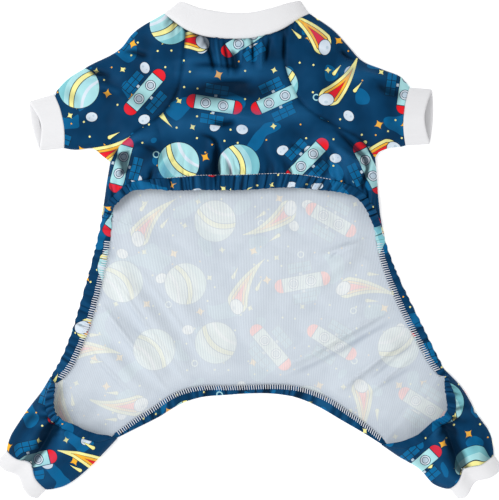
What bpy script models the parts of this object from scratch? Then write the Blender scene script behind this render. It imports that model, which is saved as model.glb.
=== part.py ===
"""A small dog's four-legged jumpsuit of knitted cloth, lying on its back with the belly side up.

Metres, +Z up. The suit lies on the plane Z = 0, its neck towards +Y and its hind legs towards -Y.
Every seam, fold and hem is worked out in plan first. The near layer, which faces up, and the far
layer, which lies on the ground, are then lifted from that plan by one height for each place, so
that pieces that share a seam meet along it.
"""

import math
from collections import namedtuple

import bmesh
import bpy
import numpy as np

# Sizes of the flat suit
CHEST_WIDTH = 0.2227
SHOULDER_WIDTH = 0.1228
SHOULDER_TO_ARMPIT = 0.1230
SLEEVE_TOP_LENGTH = 0.1110
UNDERARM_LENGTH = 0.0352
CUFF_LENGTH = 0.0192
NECK_DROP = 0.0217
COLLAR_HEIGHT = 0.0205
RAGLAN_BOW = 0.0220
FLANK_LENGTH = 0.1908
BELLY_HEM_RISE = 0.0377
BELLY_HEM_WIDTH = 0.0112
FLANK_HEM_WIDTH = 0.0110
RUMP_RISE = 0.0408
RUMP_HEM_WIDTH = 0.0088
LEG_MOUTH_WIDTH = 0.0795
LEG_OUTER_LENGTH = 0.0757
LEG_INNER_LENGTH = 0.0686
LEG_HEM_WIDTH = 0.0066
LEG_CUFF_LENGTH = 0.0140
LEG_CUFF_WIDTH = 0.0420

# How high the near layer stands over the far layer
BODY_LOFT = 0.0150
COLLAR_LOFT = 0.0120
CUFF_LOFT = 0.0125
LEG_LOFT = 0.0200
LEG_CUFF_LOFT = 0.0125
EDGE_FOLD_RADIUS = 0.0022
EASE_WIDTH = 0.0340
EASE_POWER = 0.6
# The folds of the open back panel rise over this distance, once past this share of it from a rim
BACK_FOLD_FADE = 0.0220
BACK_FOLD_INSET = 0.55
# Share of the flank below the armpit at which the back panel comes out from under the belly hem
BACK_FOLD_START = 0.30

# Thicknesses and clearances
CLOTH_WALL = 0.0012
RIB_WALL = 0.0018
CASING_THICKNESS = 0.0030
TURNED_HEM_THICKNESS = 0.0025
MERGE_DISTANCE = 0.00001
SEAM_GAP = 0.0008
FOLD_GAP = 0.0009
ARMPIT_GAP = 0.0030
GATHER_PITCH = 0.0085

# Meshing: segments along each edge
RAGLAN_STEPS = 8
SIDE_STEPS = 4
FLANK_STEPS = 11
SLEEVE_END_STEPS = 3
SLEEVE_ACROSS = 8
PANEL_ACROSS = 18
MOUTH_STEPS = 5
RUMP_STEPS = 14
LEG_STEPS = 6
LEG_ACROSS = 16
LEG_UNDER = 8
RING_STEPS = 3
GATHER_STEPS = 4
CURVE_SAMPLES = 32

# Shares of the neck seam at which the raglan seams leave it
NECK_LEFT_SHARE = 0.17
NECK_RIGHT_SHARE = 0.81
# Where the sleeve's loft starts and ends its fall, as shares of half the chest and of the sleeve
SLEEVE_LOFT_START = 0.8
SLEEVE_LOFT_END = 0.8
# How far below the shoulders the collar's loft reaches, in neck drops
COLLAR_LOFT_REACH = 3.0
# Share of the shoulder fold that lies opposite the armpit
ARMPIT_SHARE = 0.66
# How much of the belly hem's width lies along the flank's fold where it turns under
HEM_WRAP = 0.85
# How wide the rump hem is where it meets a leg, measured along the leg's mouth
RUMP_CORNER = 0.80
# Where the gathered leg ends and its cuff starts, as shares of LEG_CUFF_LENGTH past the leg's outline
LEG_TUCK = -0.03
LEG_CUFF_START = 0.07

Bow = namedtuple("Bow", "along off")
Lay = namedtuple("Lay", "share angle bow")
Fold = namedtuple("Fold", "x0 y0 x1 y1 width height")
Fan = namedtuple("Fan", "along height angle")

# How each edge lies: its share of its named length, its angle from straight out to its own side in
# degrees, and how far it bows off the straight line between its ends, as shares of that line.
SIDES = {
    "left": {
        "sign": -1.0,
        "shoulder": 1.052,
        "armpit": 1.026,
        "shoulder_fold": Lay(1.044, -36.2, (
            Bow(0.30, 0.010), Bow(0.37, -0.013), Bow(0.69, 0.017), Bow(0.86, 0.027))),
        "underarm": Lay(1.145, 18.4, (Bow(0.23, 0.100), Bow(0.43, 0.147), Bow(0.82, 0.010))),
        "cuff_top": Lay(1.08, -16.4, ()),
        "cuff_low": Lay(1.02, -6.2, ()),
        "raglan": (Bow(0.18, -0.51), Bow(0.39, -0.91), Bow(0.58, -0.80), Bow(0.74, -0.34), Bow(0.92, 0.0)),
        "flank": Lay(0.988, -74.8, (
            Bow(0.11, -0.005), Bow(0.22, -0.022), Bow(0.32, -0.032), Bow(0.59, -0.029), Bow(0.87, -0.017))),
        "crossing": 0.20,
        "flank_hem": 1.12,
        "mouth": Lay(0.961, -137.3, ()),
        "lip": (Bow(0.09, 0.051), Bow(0.19, 0.189), Bow(0.36, 0.290), Bow(0.57, 0.227), Bow(0.78, 0.157)),
        "leg_outer": Lay(0.931, -56.3, (Bow(0.21, -0.010), Bow(0.43, 0.007), Bow(0.74, 0.010))),
        "leg_inner": Lay(1.052, -39.0, (Bow(0.21, -0.030), Bow(0.50, -0.061), Bow(0.77, -0.056))),
    },
    "right": {
        "sign": 1.0,
        "shoulder": 0.948,
        "armpit": 0.974,
        "shoulder_fold": Lay(0.956, -36.4, (
            Bow(0.25, 0.005), Bow(0.40, -0.024), Bow(0.56, -0.054), Bow(0.74, -0.012), Bow(0.91, 0.025))),
        "underarm": Lay(0.855, 16.4, (Bow(0.35, 0.102), Bow(0.78, 0.037))),
        "cuff_top": Lay(0.92, -4.0, ()),
        "cuff_low": Lay(1.00, 2.6, ()),
        "raglan": (Bow(0.20, -0.78), Bow(0.34, -1.03), Bow(0.44, -1.10), Bow(0.66, -0.65), Bow(0.86, -0.05)),
        "flank": Lay(1.012, -71.2, (
            Bow(0.14, -0.031), Bow(0.33, -0.070), Bow(0.54, -0.071), Bow(0.74, -0.050), Bow(0.90, -0.020))),
        "crossing": 0.30,
        "flank_hem": 0.90,
        "mouth": Lay(1.039, -130.4, ()),
        "lip": (Bow(0.12, 0.086), Bow(0.32, 0.273), Bow(0.49, 0.224), Bow(0.69, 0.193), Bow(0.85, 0.114)),
        "leg_outer": Lay(1.069, -58.3, (Bow(0.24, 0.049), Bow(0.59, 0.041), Bow(0.80, 0.051))),
        "leg_inner": Lay(0.948, -38.4, (Bow(0.25, 0.017), Bow(0.64, 0.056), Bow(0.76, 0.030))),
    },
}

# Bows that run from the left side to the right: shares of NECK_DROP, BELLY_HEM_RISE and RUMP_RISE
NECK_BOW = (Bow(0.16, -0.66), Bow(0.26, -0.87), Bow(0.37, -0.97), Bow(0.51, -1.0), Bow(0.66, -0.92),
            Bow(0.82, -0.60), Bow(0.92, -0.25))
BELLY_HEM_BOW = (Bow(0.033, 0.24), Bow(0.08, 0.52), Bow(0.14, 0.64), Bow(0.23, 0.72), Bow(0.33, 0.82),
                 Bow(0.48, 0.90), Bow(0.66, 1.0), Bow(0.77, 0.95), Bow(0.86, 0.83), Bow(0.92, 0.56),
                 Bow(0.97, 0.20))
RUMP_BOW = (Bow(0.075, 0.22), Bow(0.15, 0.44), Bow(0.24, 0.75), Bow(0.30, 0.87), Bow(0.41, 0.95),
            Bow(0.49, 0.99), Bow(0.58, 1.0), Bow(0.68, 0.92), Bow(0.75, 0.77), Bow(0.85, 0.47),
            Bow(0.93, 0.23))

# The collar fans out from the neck seam: height as a share of COLLAR_HEIGHT, angle in degrees
COLLAR_FAN = (Fan(0.0, 0.80, 38.0), Fan(0.25, 1.03, 71.0), Fan(0.5, 1.0, 90.0), Fan(0.75, 0.95, 106.0),
              Fan(1.0, 0.62, 124.0))

# The edge folds of one side of the body, sleeve and cuff
UPPER_FOLDS = ("shoulder_fold", "underarm", "flank", "cuff_top", "cuff_low")

# Hem widths along each hem, as shares of the hem's named width
BELLY_HEM_WIDTHS = ((0.0, 0.62), (0.08, 0.66), (0.16, 0.85), (0.27, 1.0), (0.75, 1.0), (0.90, 0.85),
                    (1.0, 0.75))
FLANK_HEM_WIDTHS = ((0.0, 0.45), (0.15, 0.85), (0.3, 1.0), (0.8, 1.0), (1.0, 0.85))
LEG_HEM_WIDTHS = ((0.0, 0.0), (0.15, 0.9), (0.5, 1.0), (0.85, 0.9), (1.0, 0.0))
RUMP_HEM_WIDTHS = ((0.0, 0.75), (0.2, 1.12), (0.5, 0.75), (0.8, 1.15), (1.0, 0.75))

# Round a hem band's section from the seam and back: place across it, and height in half thicknesses
BAND_PROFILE = ((0.0, -0.8), (0.45, -1.0), (0.9, -0.75), (1.0, 0.0), (0.9, 0.75), (0.45, 1.0), (0.0, 0.8),
                (0.0, -0.8))

# Folds of the near layer. Places are shares of half of CHEST_WIDTH across from the middle, and of
# SHOULDER_TO_ARMPIT down from the shoulders; width and height are shares of BODY_LOFT.
NEAR_FOLDS = (
    Fold(-0.50, -0.42, 0.35, -0.40, 0.55, 0.15),
    Fold(-0.45, -0.55, 0.30, -0.52, 0.50, -0.16),
    Fold(-0.20, -0.78, 0.62, -0.66, 0.60, 0.18),
    Fold(-0.62, -0.80, -0.20, -0.74, 0.55, 0.14),
    Fold(-0.26, -1.18, -0.25, -0.92, 0.30, -0.26),
    Fold(-0.66, -1.24, -0.52, -1.02, 0.38, 0.22),
    Fold(0.62, -1.20, 0.86, -0.98, 0.40, 0.20),
    Fold(-0.06, -0.24, -0.02, -0.44, 0.26, -0.20),
    Fold(0.14, -0.22, 0.16, -0.40, 0.28, 0.18),
    Fold(0.72, -0.36, 1.02, -0.44, 0.45, 0.20),
    Fold(-1.05, -0.52, -0.62, -0.64, 0.60, -0.14),
    Fold(-0.98, -0.95, -0.62, -0.82, 0.40, 0.18),
)

# Folds of the open back panel. Places are shares of half of CHEST_WIDTH across, and of FLANK_LENGTH
# down from the armpits; width and height are shares of BODY_LOFT.
BACK_FOLDS = (
    Fold(-1.06, -0.40, -0.30, -1.02, 0.52, 0.34),
    Fold(-1.16, -0.58, -0.42, -1.08, 0.46, 0.30),
    Fold(-1.22, -0.74, -0.62, -1.12, 0.50, 0.34),
    Fold(-0.72, -0.40, -0.10, -0.98, 0.60, 0.22),
    Fold(1.02, -0.34, 0.42, -0.62, 0.50, 0.36),
    Fold(1.20, -0.62, 0.20, -0.98, 0.48, 0.38),
    Fold(1.34, -0.74, 0.62, -1.08, 0.52, 0.36),
    Fold(0.30, -0.40, 0.02, -0.80, 0.70, 0.16),
)


def smooth_table(rows, at):
    """The value of a table of (place, value) rows at each place, with a smooth curve through the rows."""
    place = np.array([row[0] for row in rows], float)
    value = np.array([row[1] for row in rows], float)
    slope = np.gradient(value, place)
    at = np.clip(np.asarray(at, float), place[0], place[-1])
    low = np.clip(np.searchsorted(place, at, side="right") - 1, 0, len(place) - 2)
    span = place[low + 1] - place[low]
    t = (at - place[low]) / span
    from_low = (1 + 2 * t) * (1 - t) ** 2 * value[low] + t * (1 - t) ** 2 * span * slope[low]
    from_high = t * t * (3 - 2 * t) * value[low + 1] + t * t * (t - 1) * span * slope[low + 1]
    return from_low + from_high


def smooth_step(t):
    """0 below 0, 1 above 1 and an S-curve between."""
    t = np.clip(t, 0.0, 1.0)
    return t * t * (3 - 2 * t)


def ease_steps(count):
    """Shares from 0 to 1 that lie closer together near both ends."""
    return (1 - np.cos(np.linspace(0, math.pi, count + 1))) / 2


class Curve:
    """A line in plan, found by its share of the way along."""

    def __init__(self, points):
        self.points = np.array(points, float)
        steps = np.linalg.norm(np.diff(self.points, axis=0), axis=1)
        self.along = np.concatenate([[0.0], np.cumsum(steps)]) / steps.sum()

    def at(self, share):
        return np.stack([np.interp(share, self.along, self.points[:, axis]) for axis in (0, 1)], axis=-1)

    def length(self):
        return float(np.linalg.norm(np.diff(self.points, axis=0), axis=1).sum())

    def part(self, start, end, samples=CURVE_SAMPLES):
        return Curve(self.at(np.linspace(start, end, samples + 1)))

    def beside(self, width, widths):
        """A line that runs beside this one, to its right by that width times the table's shares."""
        share = np.linspace(0, 1, CURVE_SAMPLES + 1)
        forward = np.gradient(self.at(share), axis=0)
        forward /= np.linalg.norm(forward, axis=1)[:, None]
        right = np.stack([forward[:, 1], -forward[:, 0]], axis=1)
        return Curve(self.at(share) + right * (width * smooth_table(widths, share))[:, None])


def bowed(start, end, bow, scale):
    """A line from start to end that bows to its left by each row's off times the scale."""
    start = np.array(start, float)
    end = np.array(end, float)
    share = np.linspace(0, 1, CURVE_SAMPLES + 1)
    off = smooth_table(((0.0, 0.0), *bow, (1.0, 0.0)), share) * scale
    way = (end - start) / np.linalg.norm(end - start)
    return Curve(start + np.outer(share, end - start) + np.outer(off, (-way[1], way[0])))


def laid(start, length, lay, sign):
    """An edge that starts at a point of its own side and lies as its row says. Its side is then set."""
    angle = math.radians(lay.angle)
    size = length * lay.share
    out = np.array([start[0] * sign, start[1]])
    line = bowed(out, out + size * np.array([math.cos(angle), math.sin(angle)]), lay.bow, size)
    return Curve(line.points * (sign, 1.0))


class Plan:
    """Every seam, fold and free edge of the suit in plan."""

    def __init__(self):
        self.sides = {name: self.side(row) for name, row in SIDES.items()}
        left = self.sides["left"]
        right = self.sides["right"]
        self.neck = bowed(left["shoulder"], right["shoulder"], NECK_BOW, NECK_DROP)
        self.collar_top = self.fan_out(self.neck)
        for side, share in ((left, NECK_LEFT_SHARE), (right, NECK_RIGHT_SHARE)):
            start = self.neck.at(share) * (side["sign"], 1.0)
            end = side["armpit"] * (side["sign"], 1.0)
            seam = bowed(start, end, side["raglan_bow"], RAGLAN_BOW)
            side["raglan"] = Curve(seam.points * (side["sign"], 1.0))
        crossings = [side["flank"].at(side["crossing"]) for side in (left, right)]
        self.hem_seam = bowed(*crossings, BELLY_HEM_BOW, BELLY_HEM_RISE)
        self.hem_edge = self.hem_seam.beside(BELLY_HEM_WIDTH, BELLY_HEM_WIDTHS)
        self.rump = bowed(left["leg_in"], right["leg_in"], RUMP_BOW, RUMP_RISE)
        self.rump_inner = self.rump.beside(-RUMP_HEM_WIDTH, RUMP_HEM_WIDTHS)
        upper_folds = []
        for side in (left, right):
            upper_folds += [side[name] for name in UPPER_FOLDS]
        for end in (0, -1):
            upper_folds.append(Curve([self.neck.points[end], self.collar_top.points[end]]))
        self.upper_folds = segments_of(upper_folds)

    def side(self, row):
        sign = row["sign"]
        shoulder = np.array([sign * SHOULDER_WIDTH / 2 * row["shoulder"], 0.0])
        armpit = np.array([sign * CHEST_WIDTH / 2, -SHOULDER_TO_ARMPIT * row["armpit"]])
        made = {"sign": sign, "shoulder": shoulder, "armpit": armpit, "raglan_bow": row["raglan"]}
        made["shoulder_fold"] = laid(shoulder, SLEEVE_TOP_LENGTH, row["shoulder_fold"], sign)
        made["underarm"] = laid(armpit, UNDERARM_LENGTH, row["underarm"], sign)
        made["cuff_top"] = laid(made["shoulder_fold"].at(1.0), CUFF_LENGTH, row["cuff_top"], sign)
        made["cuff_low"] = laid(made["underarm"].at(1.0), CUFF_LENGTH, row["cuff_low"], sign)
        made["flank"] = laid(armpit, FLANK_LENGTH, row["flank"], sign)
        made["leg_out"] = made["flank"].at(1.0)
        made["mouth"] = laid(made["leg_out"], LEG_MOUTH_WIDTH, row["mouth"], sign)
        made["leg_in"] = made["mouth"].at(1.0)
        made["leg_outer"] = laid(made["leg_out"], LEG_OUTER_LENGTH, row["leg_outer"], sign)
        made["leg_inner"] = laid(made["leg_in"], LEG_INNER_LENGTH, row["leg_inner"], sign)
        made["lip"] = laid(made["leg_out"], LEG_MOUTH_WIDTH, row["mouth"]._replace(bow=row["lip"]), sign)
        made["crossing"] = row["crossing"]
        wrapped = HEM_WRAP * BELLY_HEM_WIDTH / made["flank"].length()
        made["hem_end"] = row["crossing"] + wrapped
        made["flank_hem"] = row["flank_hem"]
        made["leg_folds"] = segments_of([made["leg_outer"], made["leg_inner"]])
        return made

    def fan_out(self, seam):
        share = np.linspace(0, 1, CURVE_SAMPLES + 1)
        height = COLLAR_HEIGHT * smooth_table([(row.along, row.height) for row in COLLAR_FAN], share)
        angle = np.radians(smooth_table([(row.along, row.angle) for row in COLLAR_FAN], share))
        return Curve(seam.at(share) + np.stack([height * np.cos(angle), height * np.sin(angle)], axis=1))


def segments_of(curves):
    """The start and end points of every straight piece of the curves."""
    starts = np.concatenate([curve.points[:-1] for curve in curves])
    ends = np.concatenate([curve.points[1:] for curve in curves])
    return starts, ends


def distance_to(segments, points):
    """How far each point in plan is from the nearest of the segments."""
    starts, ends = segments
    way = ends - starts
    apart = points[:, None, :] - starts[None]
    share = np.clip((apart * way).sum(-1) / np.maximum((way * way).sum(-1), 1e-12), 0, 1)
    return np.linalg.norm(apart - share[..., None] * way, axis=-1).min(axis=1)


def fold_heights(folds, points, across, down, top):
    """The height that a table of folds adds at each point."""
    total = np.zeros(len(points))
    for fold in folds:
        start = np.array([fold.x0 * across, top + fold.y0 * down])
        way = np.array([fold.x1 * across, top + fold.y1 * down]) - start
        share = ((points - start) @ way) / (way @ way)
        near = start + np.clip(share, 0, 1)[:, None] * way
        off = np.linalg.norm(points - near, axis=1) / (fold.width * BODY_LOFT)
        taper = np.sin(math.pi * np.clip(share, 0, 1)) ** 0.7
        total += fold.height * BODY_LOFT * np.exp(-off * off) * taper
    return total


def upper_loft(points):
    """How far the near layer of the body, sleeves, cuffs and collar stands off at most, at each point."""
    start = SLEEVE_LOFT_START * CHEST_WIDTH / 2
    end = SHOULDER_WIDTH / 2 + SLEEVE_LOFT_END * SLEEVE_TOP_LENGTH
    to_cuff = smooth_step((np.abs(points[:, 0]) - start) / (end - start))
    to_neck = smooth_step(1.0 + points[:, 1] / (COLLAR_LOFT_REACH * NECK_DROP)) * (1 - to_cuff)
    return BODY_LOFT + (CUFF_LOFT - BODY_LOFT) * to_cuff + (COLLAR_LOFT - BODY_LOFT) * to_neck


def lifted(distance, loft, wall, near):
    """The height of a layer's middle, from how far in from the edge fold it lies."""
    fold = EDGE_FOLD_RADIUS
    if near:
        rise = (1 - (1 - np.clip(distance / EASE_WIDTH, 0, 1)) ** 2) ** EASE_POWER
        return wall / 2 + fold + (loft - fold) * rise
    inside = np.clip(distance / fold, 0, 1)
    return wall / 2 + fold * (1 - np.sqrt(1 - (1 - inside) ** 2))


def upper_layer(plan, points, near, wall=CLOTH_WALL):
    """Points of the body, sleeves, cuffs or collar, lifted to their layer."""
    flat = points.reshape(-1, 2)
    distance = distance_to(plan.upper_folds, flat)
    height = lifted(distance, upper_loft(flat), wall, near)
    if near:
        folds = fold_heights(NEAR_FOLDS, flat, CHEST_WIDTH / 2, SHOULDER_TO_ARMPIT, 0.0)
        height += folds * smooth_step(distance / (0.6 * EASE_WIDTH))
    return np.concatenate([flat, height[:, None]], axis=1).reshape(*points.shape[:-1], 3)


def leg_layer(side, points, near, wall=CLOTH_WALL):
    """Points of a hind leg, lifted to their layer: high at the mouth and lower at the cuff."""
    flat = points.reshape(-1, 2)
    distance = distance_to(side["leg_folds"], flat)
    start = side["mouth"].at(0.5)
    way = (side["leg_outer"].at(1.0) + side["leg_inner"].at(1.0)) / 2 - start
    share = np.clip(((flat - start) @ way) / (way @ way), 0, 1)
    loft = LEG_LOFT + (LEG_CUFF_LOFT - LEG_LOFT) * smooth_step(share)
    height = lifted(distance, loft, wall, near)
    if near:
        across = (flat - start) @ np.array([-way[1], way[0]]) / np.linalg.norm(way)
        waves = np.cos(2 * math.pi * across / (1.6 * GATHER_PITCH))
        fade = smooth_step(distance / (0.5 * EASE_WIDTH)) * (1 - 0.75 * smooth_step(share))
        height += 0.11 * LEG_LOFT * waves * fade
    return np.concatenate([flat, height[:, None]], axis=1).reshape(*points.shape[:-1], 3)


def filled(first, last, start_side, end_side, reach=2.5):
    """A grid of plan points between four edges. Rows run from first to last, columns from start to end.

    The bows of the first and last rows fade out over the rows between, faster with a higher reach.
    """
    rows = np.linspace(0, 1, len(start_side))[:, None, None]
    along = np.linalg.norm(np.diff(last, axis=0), axis=1)
    columns = (np.concatenate([[0], np.cumsum(along)]) / along.sum())[None, :, None]
    first_bow = first[None] - (1 - columns) * first[0] - columns * first[-1]
    last_bow = last[None] - (1 - columns) * last[0] - columns * last[-1]
    between_sides = (1 - columns) * start_side[:, None] + columns * end_side[:, None]
    return between_sides + (1 - rows) ** reach * first_bow + rows ** reach * last_bow


def pulled_in(rows, **gaps):
    """The grid with the named edges drawn back square to themselves, each by half of its gap."""
    rows = rows.copy()
    picks = {
        "first": ((0, slice(None)), (1, slice(None))),
        "last": ((-1, slice(None)), (-2, slice(None))),
        "start": ((slice(None), 0), (slice(None), 1)),
        "end": ((slice(None), -1), (slice(None), -2)),
    }
    for edge, gap in gaps.items():
        outer, inner = picks[edge]
        way = rows[inner] - rows[outer]
        along = np.gradient(rows[outer], axis=0)
        along /= np.maximum(np.linalg.norm(along, axis=1), 1e-9)[:, None]
        way = way - along * (way * along).sum(axis=1)[:, None]
        way /= np.maximum(np.linalg.norm(way, axis=1), 1e-9)[:, None]
        rows[outer] = rows[outer] + way * (np.broadcast_to(gap, len(way)) / 2)[:, None]
    return rows


def side_gaps(steps_on_fold, steps_below=0):
    """The gap at each row of a body panel's side: the raglan seam, the edge fold, then the hem."""
    raglan = [SEAM_GAP] * (RAGLAN_STEPS - 1) + [ARMPIT_GAP] * 2
    return np.array(raglan + [FOLD_GAP] * steps_on_fold + [SEAM_GAP] * steps_below)


def material(name, colour, roughness):
    made = bpy.data.materials.get(name)
    if made is None:
        made = bpy.data.materials.new(name)
        made.use_nodes = True
        shader = made.node_tree.nodes["Principled BSDF"]
        shader.inputs["Base Color"].default_value = (*colour, 1.0)
        shader.inputs["Roughness"].default_value = roughness
        shader.inputs["Metallic"].default_value = 0.0
    return made


def printed_knit():
    return material("printed_knit", (0.012, 0.065, 0.145), 0.62)


def white_rib():
    return material("white_rib", (0.80, 0.80, 0.80), 0.85)


def grid_mesh(name, rows, closed=False):
    """A mesh grid whose points are the rows of a grid, merged where they meet, with closed ends or not."""
    count, across = rows.shape[:2]
    mesh = bmesh.new()
    bmesh.ops.create_grid(mesh, x_segments=across - 1, y_segments=count - 1, size=0.5)
    mesh.verts.ensure_lookup_table()
    for vert, point in zip(mesh.verts, rows.reshape(-1, 3)):
        vert.co = point
    bmesh.ops.remove_doubles(mesh, verts=mesh.verts, dist=MERGE_DISTANCE)
    if closed:
        bmesh.ops.holes_fill(mesh, edges=mesh.edges, sides=0)
        bmesh.ops.recalc_face_normals(mesh, faces=mesh.faces)
    data = bpy.data.meshes.new(name)
    mesh.to_mesh(data)
    mesh.free()
    return data


def placed(name, data, finish):
    data.shade_smooth()
    data.materials.append(finish)
    made = bpy.data.objects.new(name, data)
    bpy.context.scene.collection.objects.link(made)
    return made


def cloth(name, rows, wall, finish, flip=False):
    """A wall of cloth that follows a grid of points, which is the middle of its thickness."""
    made = placed(name, grid_mesh(name, rows[:, ::-1] if flip else rows), finish)
    skin = made.modifiers.new("wall", "SOLIDIFY")
    skin.thickness = wall
    skin.offset = 0.0
    skin.use_even_offset = False
    skin.use_rim = True
    return made


def band(name, seam, edge, thickness, finish):
    """A solid hem band between its seam and its free edge, rounded along the free edge."""
    along = np.gradient(seam + edge, axis=0)
    across = edge - seam
    up = np.cross(along, across)
    up /= np.linalg.norm(up, axis=1)[:, None]
    up *= np.sign(up[:, 2:3] + 1e-12)
    half = up * thickness / 2
    rows = np.stack([seam + across * place + half * side for place, side in BAND_PROFILE], axis=1)
    return placed(name, grid_mesh(name, rows, closed=True), finish)


def body_edges(plan, side, flank_rows):
    """The plan points of one side of the body from the neck seam down, and how many are raglan."""
    raglan = plan.sides[side]["raglan"].at(np.linspace(0, 1, RAGLAN_STEPS + 1))
    return np.concatenate([raglan, flank_rows[1:]])


def near_columns():
    """Where the columns of the body's near layer lie, as shares across it."""
    return ease_steps(PANEL_ACROSS)


def belly_panel(plan):
    sides = []
    for name in ("left", "right"):
        side = plan.sides[name]
        rows = side["flank"].at(np.linspace(0, side["crossing"], SIDE_STEPS + 1))
        sides.append(body_edges(plan, name, rows))
    columns = near_columns()
    neck = plan.neck.at(NECK_LEFT_SHARE + (NECK_RIGHT_SHARE - NECK_LEFT_SHARE) * columns)
    hem = plan.hem_seam.at(columns)
    rows = upper_layer(plan, filled(neck, hem, *sides), near=True)
    gaps = side_gaps(SIDE_STEPS)
    rows = pulled_in(rows, first=SEAM_GAP, last=SEAM_GAP, start=gaps, end=gaps)
    cloth("belly_panel", rows, CLOTH_WALL, printed_knit())
    return rows[-1]


def back_edges(plan):
    """The two sides of the back panel: raglan, edge fold to the belly hem, then the flank hem's seam."""
    edges = []
    for name in ("left", "right"):
        side = plan.sides[name]
        fold = side["flank"].at(np.linspace(0, side["hem_end"], SIDE_STEPS + 1))
        inner = flank_hem_lines(side)[0].at(np.linspace(0, 1, FLANK_STEPS + 1))
        edges.append(np.concatenate([body_edges(plan, name, fold), inner[1:]]))
    return edges


def flank_hem_lines(side):
    """The seam and the folded outer edge of one flank hem, in plan."""
    fold = side["flank"].part(side["hem_end"], 1.0)
    width = side["sign"] * FLANK_HEM_WIDTH * side["flank_hem"]
    return fold.beside(width, FLANK_HEM_WIDTHS), fold


def back_panel(plan):
    left, right = (plan.sides[name] for name in ("left", "right"))
    sides = back_edges(plan)
    reach = np.linspace(0, 1, MOUTH_STEPS + 1)
    mouths = []
    for side, edge in ((left, sides[0]), (right, sides[1])):
        hem_share = np.linalg.norm(edge[-1] - side["leg_out"]) / LEG_MOUTH_WIDTH
        rump_share = RUMP_CORNER * RUMP_HEM_WIDTH / LEG_MOUTH_WIDTH
        mouths.append(side["mouth"].at(hem_share + (1 - hem_share - rump_share) * reach))
    sides[0][-1] = mouths[0][0]
    sides[1][-1] = mouths[1][0]
    rump = plan.rump_inner.at(np.linspace(0, 1, RUMP_STEPS + 1))
    rump[0] = mouths[0][-1]
    rump[-1] = mouths[1][-1]
    last = np.concatenate([mouths[0][:-1], rump, mouths[1][::-1][1:]])
    edge_shares = (0.0035, 0.011)
    extra = [last[0] + (last[1] - last[0]) * share / 0.04 for share in edge_shares]
    extra_end = [last[-1] + (last[-2] - last[-1]) * share / 0.04 for share in edge_shares[::-1]]
    last = np.concatenate([last[:1], extra, last[1:-1], extra_end, last[-1:]])
    along = np.concatenate([[0], np.cumsum(np.linalg.norm(np.diff(last, axis=0), axis=1))])
    columns = along / along[-1]
    neck = plan.neck.at(NECK_LEFT_SHARE + (NECK_RIGHT_SHARE - NECK_LEFT_SHARE) * columns)
    grid = filled(neck, last, *sides)
    rows = upper_layer(plan, grid, near=False)
    rows[RAGLAN_STEPS + SIDE_STEPS + 1:, :, 2] = CLOTH_WALL / 2
    flat = grid.reshape(-1, 2)
    top = -SHOULDER_TO_ARMPIT
    folds = fold_heights(BACK_FOLDS, flat, CHEST_WIDTH / 2, FLANK_LENGTH, top)
    rims = segments_of([left["flank"], right["flank"], plan.rump, left["mouth"], right["mouth"]])
    inside = distance_to(rims, flat)
    under = smooth_step((top - BACK_FOLD_START * FLANK_LENGTH - flat[:, 1]) / BACK_FOLD_FADE)
    raised = np.clip(folds, 0, None) * smooth_step(inside / BACK_FOLD_FADE - BACK_FOLD_INSET) * under
    rows[..., 2] += raised.reshape(rows.shape[:2])
    gaps = side_gaps(SIDE_STEPS, FLANK_STEPS)
    rows = pulled_in(rows, first=SEAM_GAP, last=SEAM_GAP, start=gaps, end=gaps)
    cloth("back_panel", rows, CLOTH_WALL, printed_knit(), flip=True)
    hem_rows = slice(-FLANK_STEPS - 1, None)
    return {"left": sides[0][hem_rows], "right": sides[1][hem_rows], "rump": rump}


def sleeve(plan, name):
    side = plan.sides[name]
    far_share = ARMPIT_SHARE
    fold_shares = np.concatenate([np.linspace(0, far_share, RAGLAN_STEPS + 1),
                                  np.linspace(far_share, 1, SLEEVE_END_STEPS + 1)[1:]])
    seam = np.concatenate([side["raglan"].at(np.linspace(0, 1, RAGLAN_STEPS + 1)),
                           side["underarm"].at(np.linspace(0, 1, SLEEVE_END_STEPS + 1))[1:]])
    fold = side["shoulder_fold"].at(fold_shares)
    across = ease_steps(SLEEVE_ACROSS)
    if name == "left":
        neck = plan.neck.at(NECK_LEFT_SHARE * across)
    else:
        neck = plan.neck.at(1 - (1 - NECK_RIGHT_SHARE) * across)
    end = fold[-1] + np.outer(across, seam[-1] - fold[-1])
    grid = filled(neck, end, fold, seam)
    near = upper_layer(plan, grid, near=True)
    far = upper_layer(plan, grid, near=False)
    for layer in (near, far):
        layer[:RAGLAN_STEPS] = pulled_in(layer, end=SEAM_GAP)[:RAGLAN_STEPS]
    rows = np.concatenate([far[:, ::-1], near[:, 1:]], axis=1)
    rows = pulled_in(rows, first=SEAM_GAP, last=SEAM_GAP)
    cloth(f"sleeve_{name}", rows, CLOTH_WALL, printed_knit(), flip=name == "right")


def ring(name, near, far, finish, flip):
    """A rib band sewn as a ring, from its near and far layers, which meet along both edge folds."""
    rows = np.concatenate([near, far[:, ::-1][:, 1:]], axis=1)
    rows = pulled_in(rows, first=SEAM_GAP)
    cloth(name, rows, RIB_WALL, finish, flip)


def sleeve_cuff(plan, name):
    side = plan.sides[name]
    steps = np.linspace(0, 1, RING_STEPS + 1)
    top = side["cuff_top"].at(steps)
    low = side["cuff_low"].at(steps)
    across = ease_steps(SLEEVE_ACROSS)
    grid = top[:, None] + across[None, :, None] * (low - top)[:, None]
    near = upper_layer(plan, grid, near=True, wall=RIB_WALL)
    far = upper_layer(plan, grid, near=False, wall=RIB_WALL)
    set_back = 0.36 * np.sin(math.pi * across)[None, :, None] * steps[:, None, None]
    near = near - set_back * (near - near[:1])
    ring(f"sleeve_cuff_{name}", near, far, white_rib(), flip=name == "left")


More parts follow.
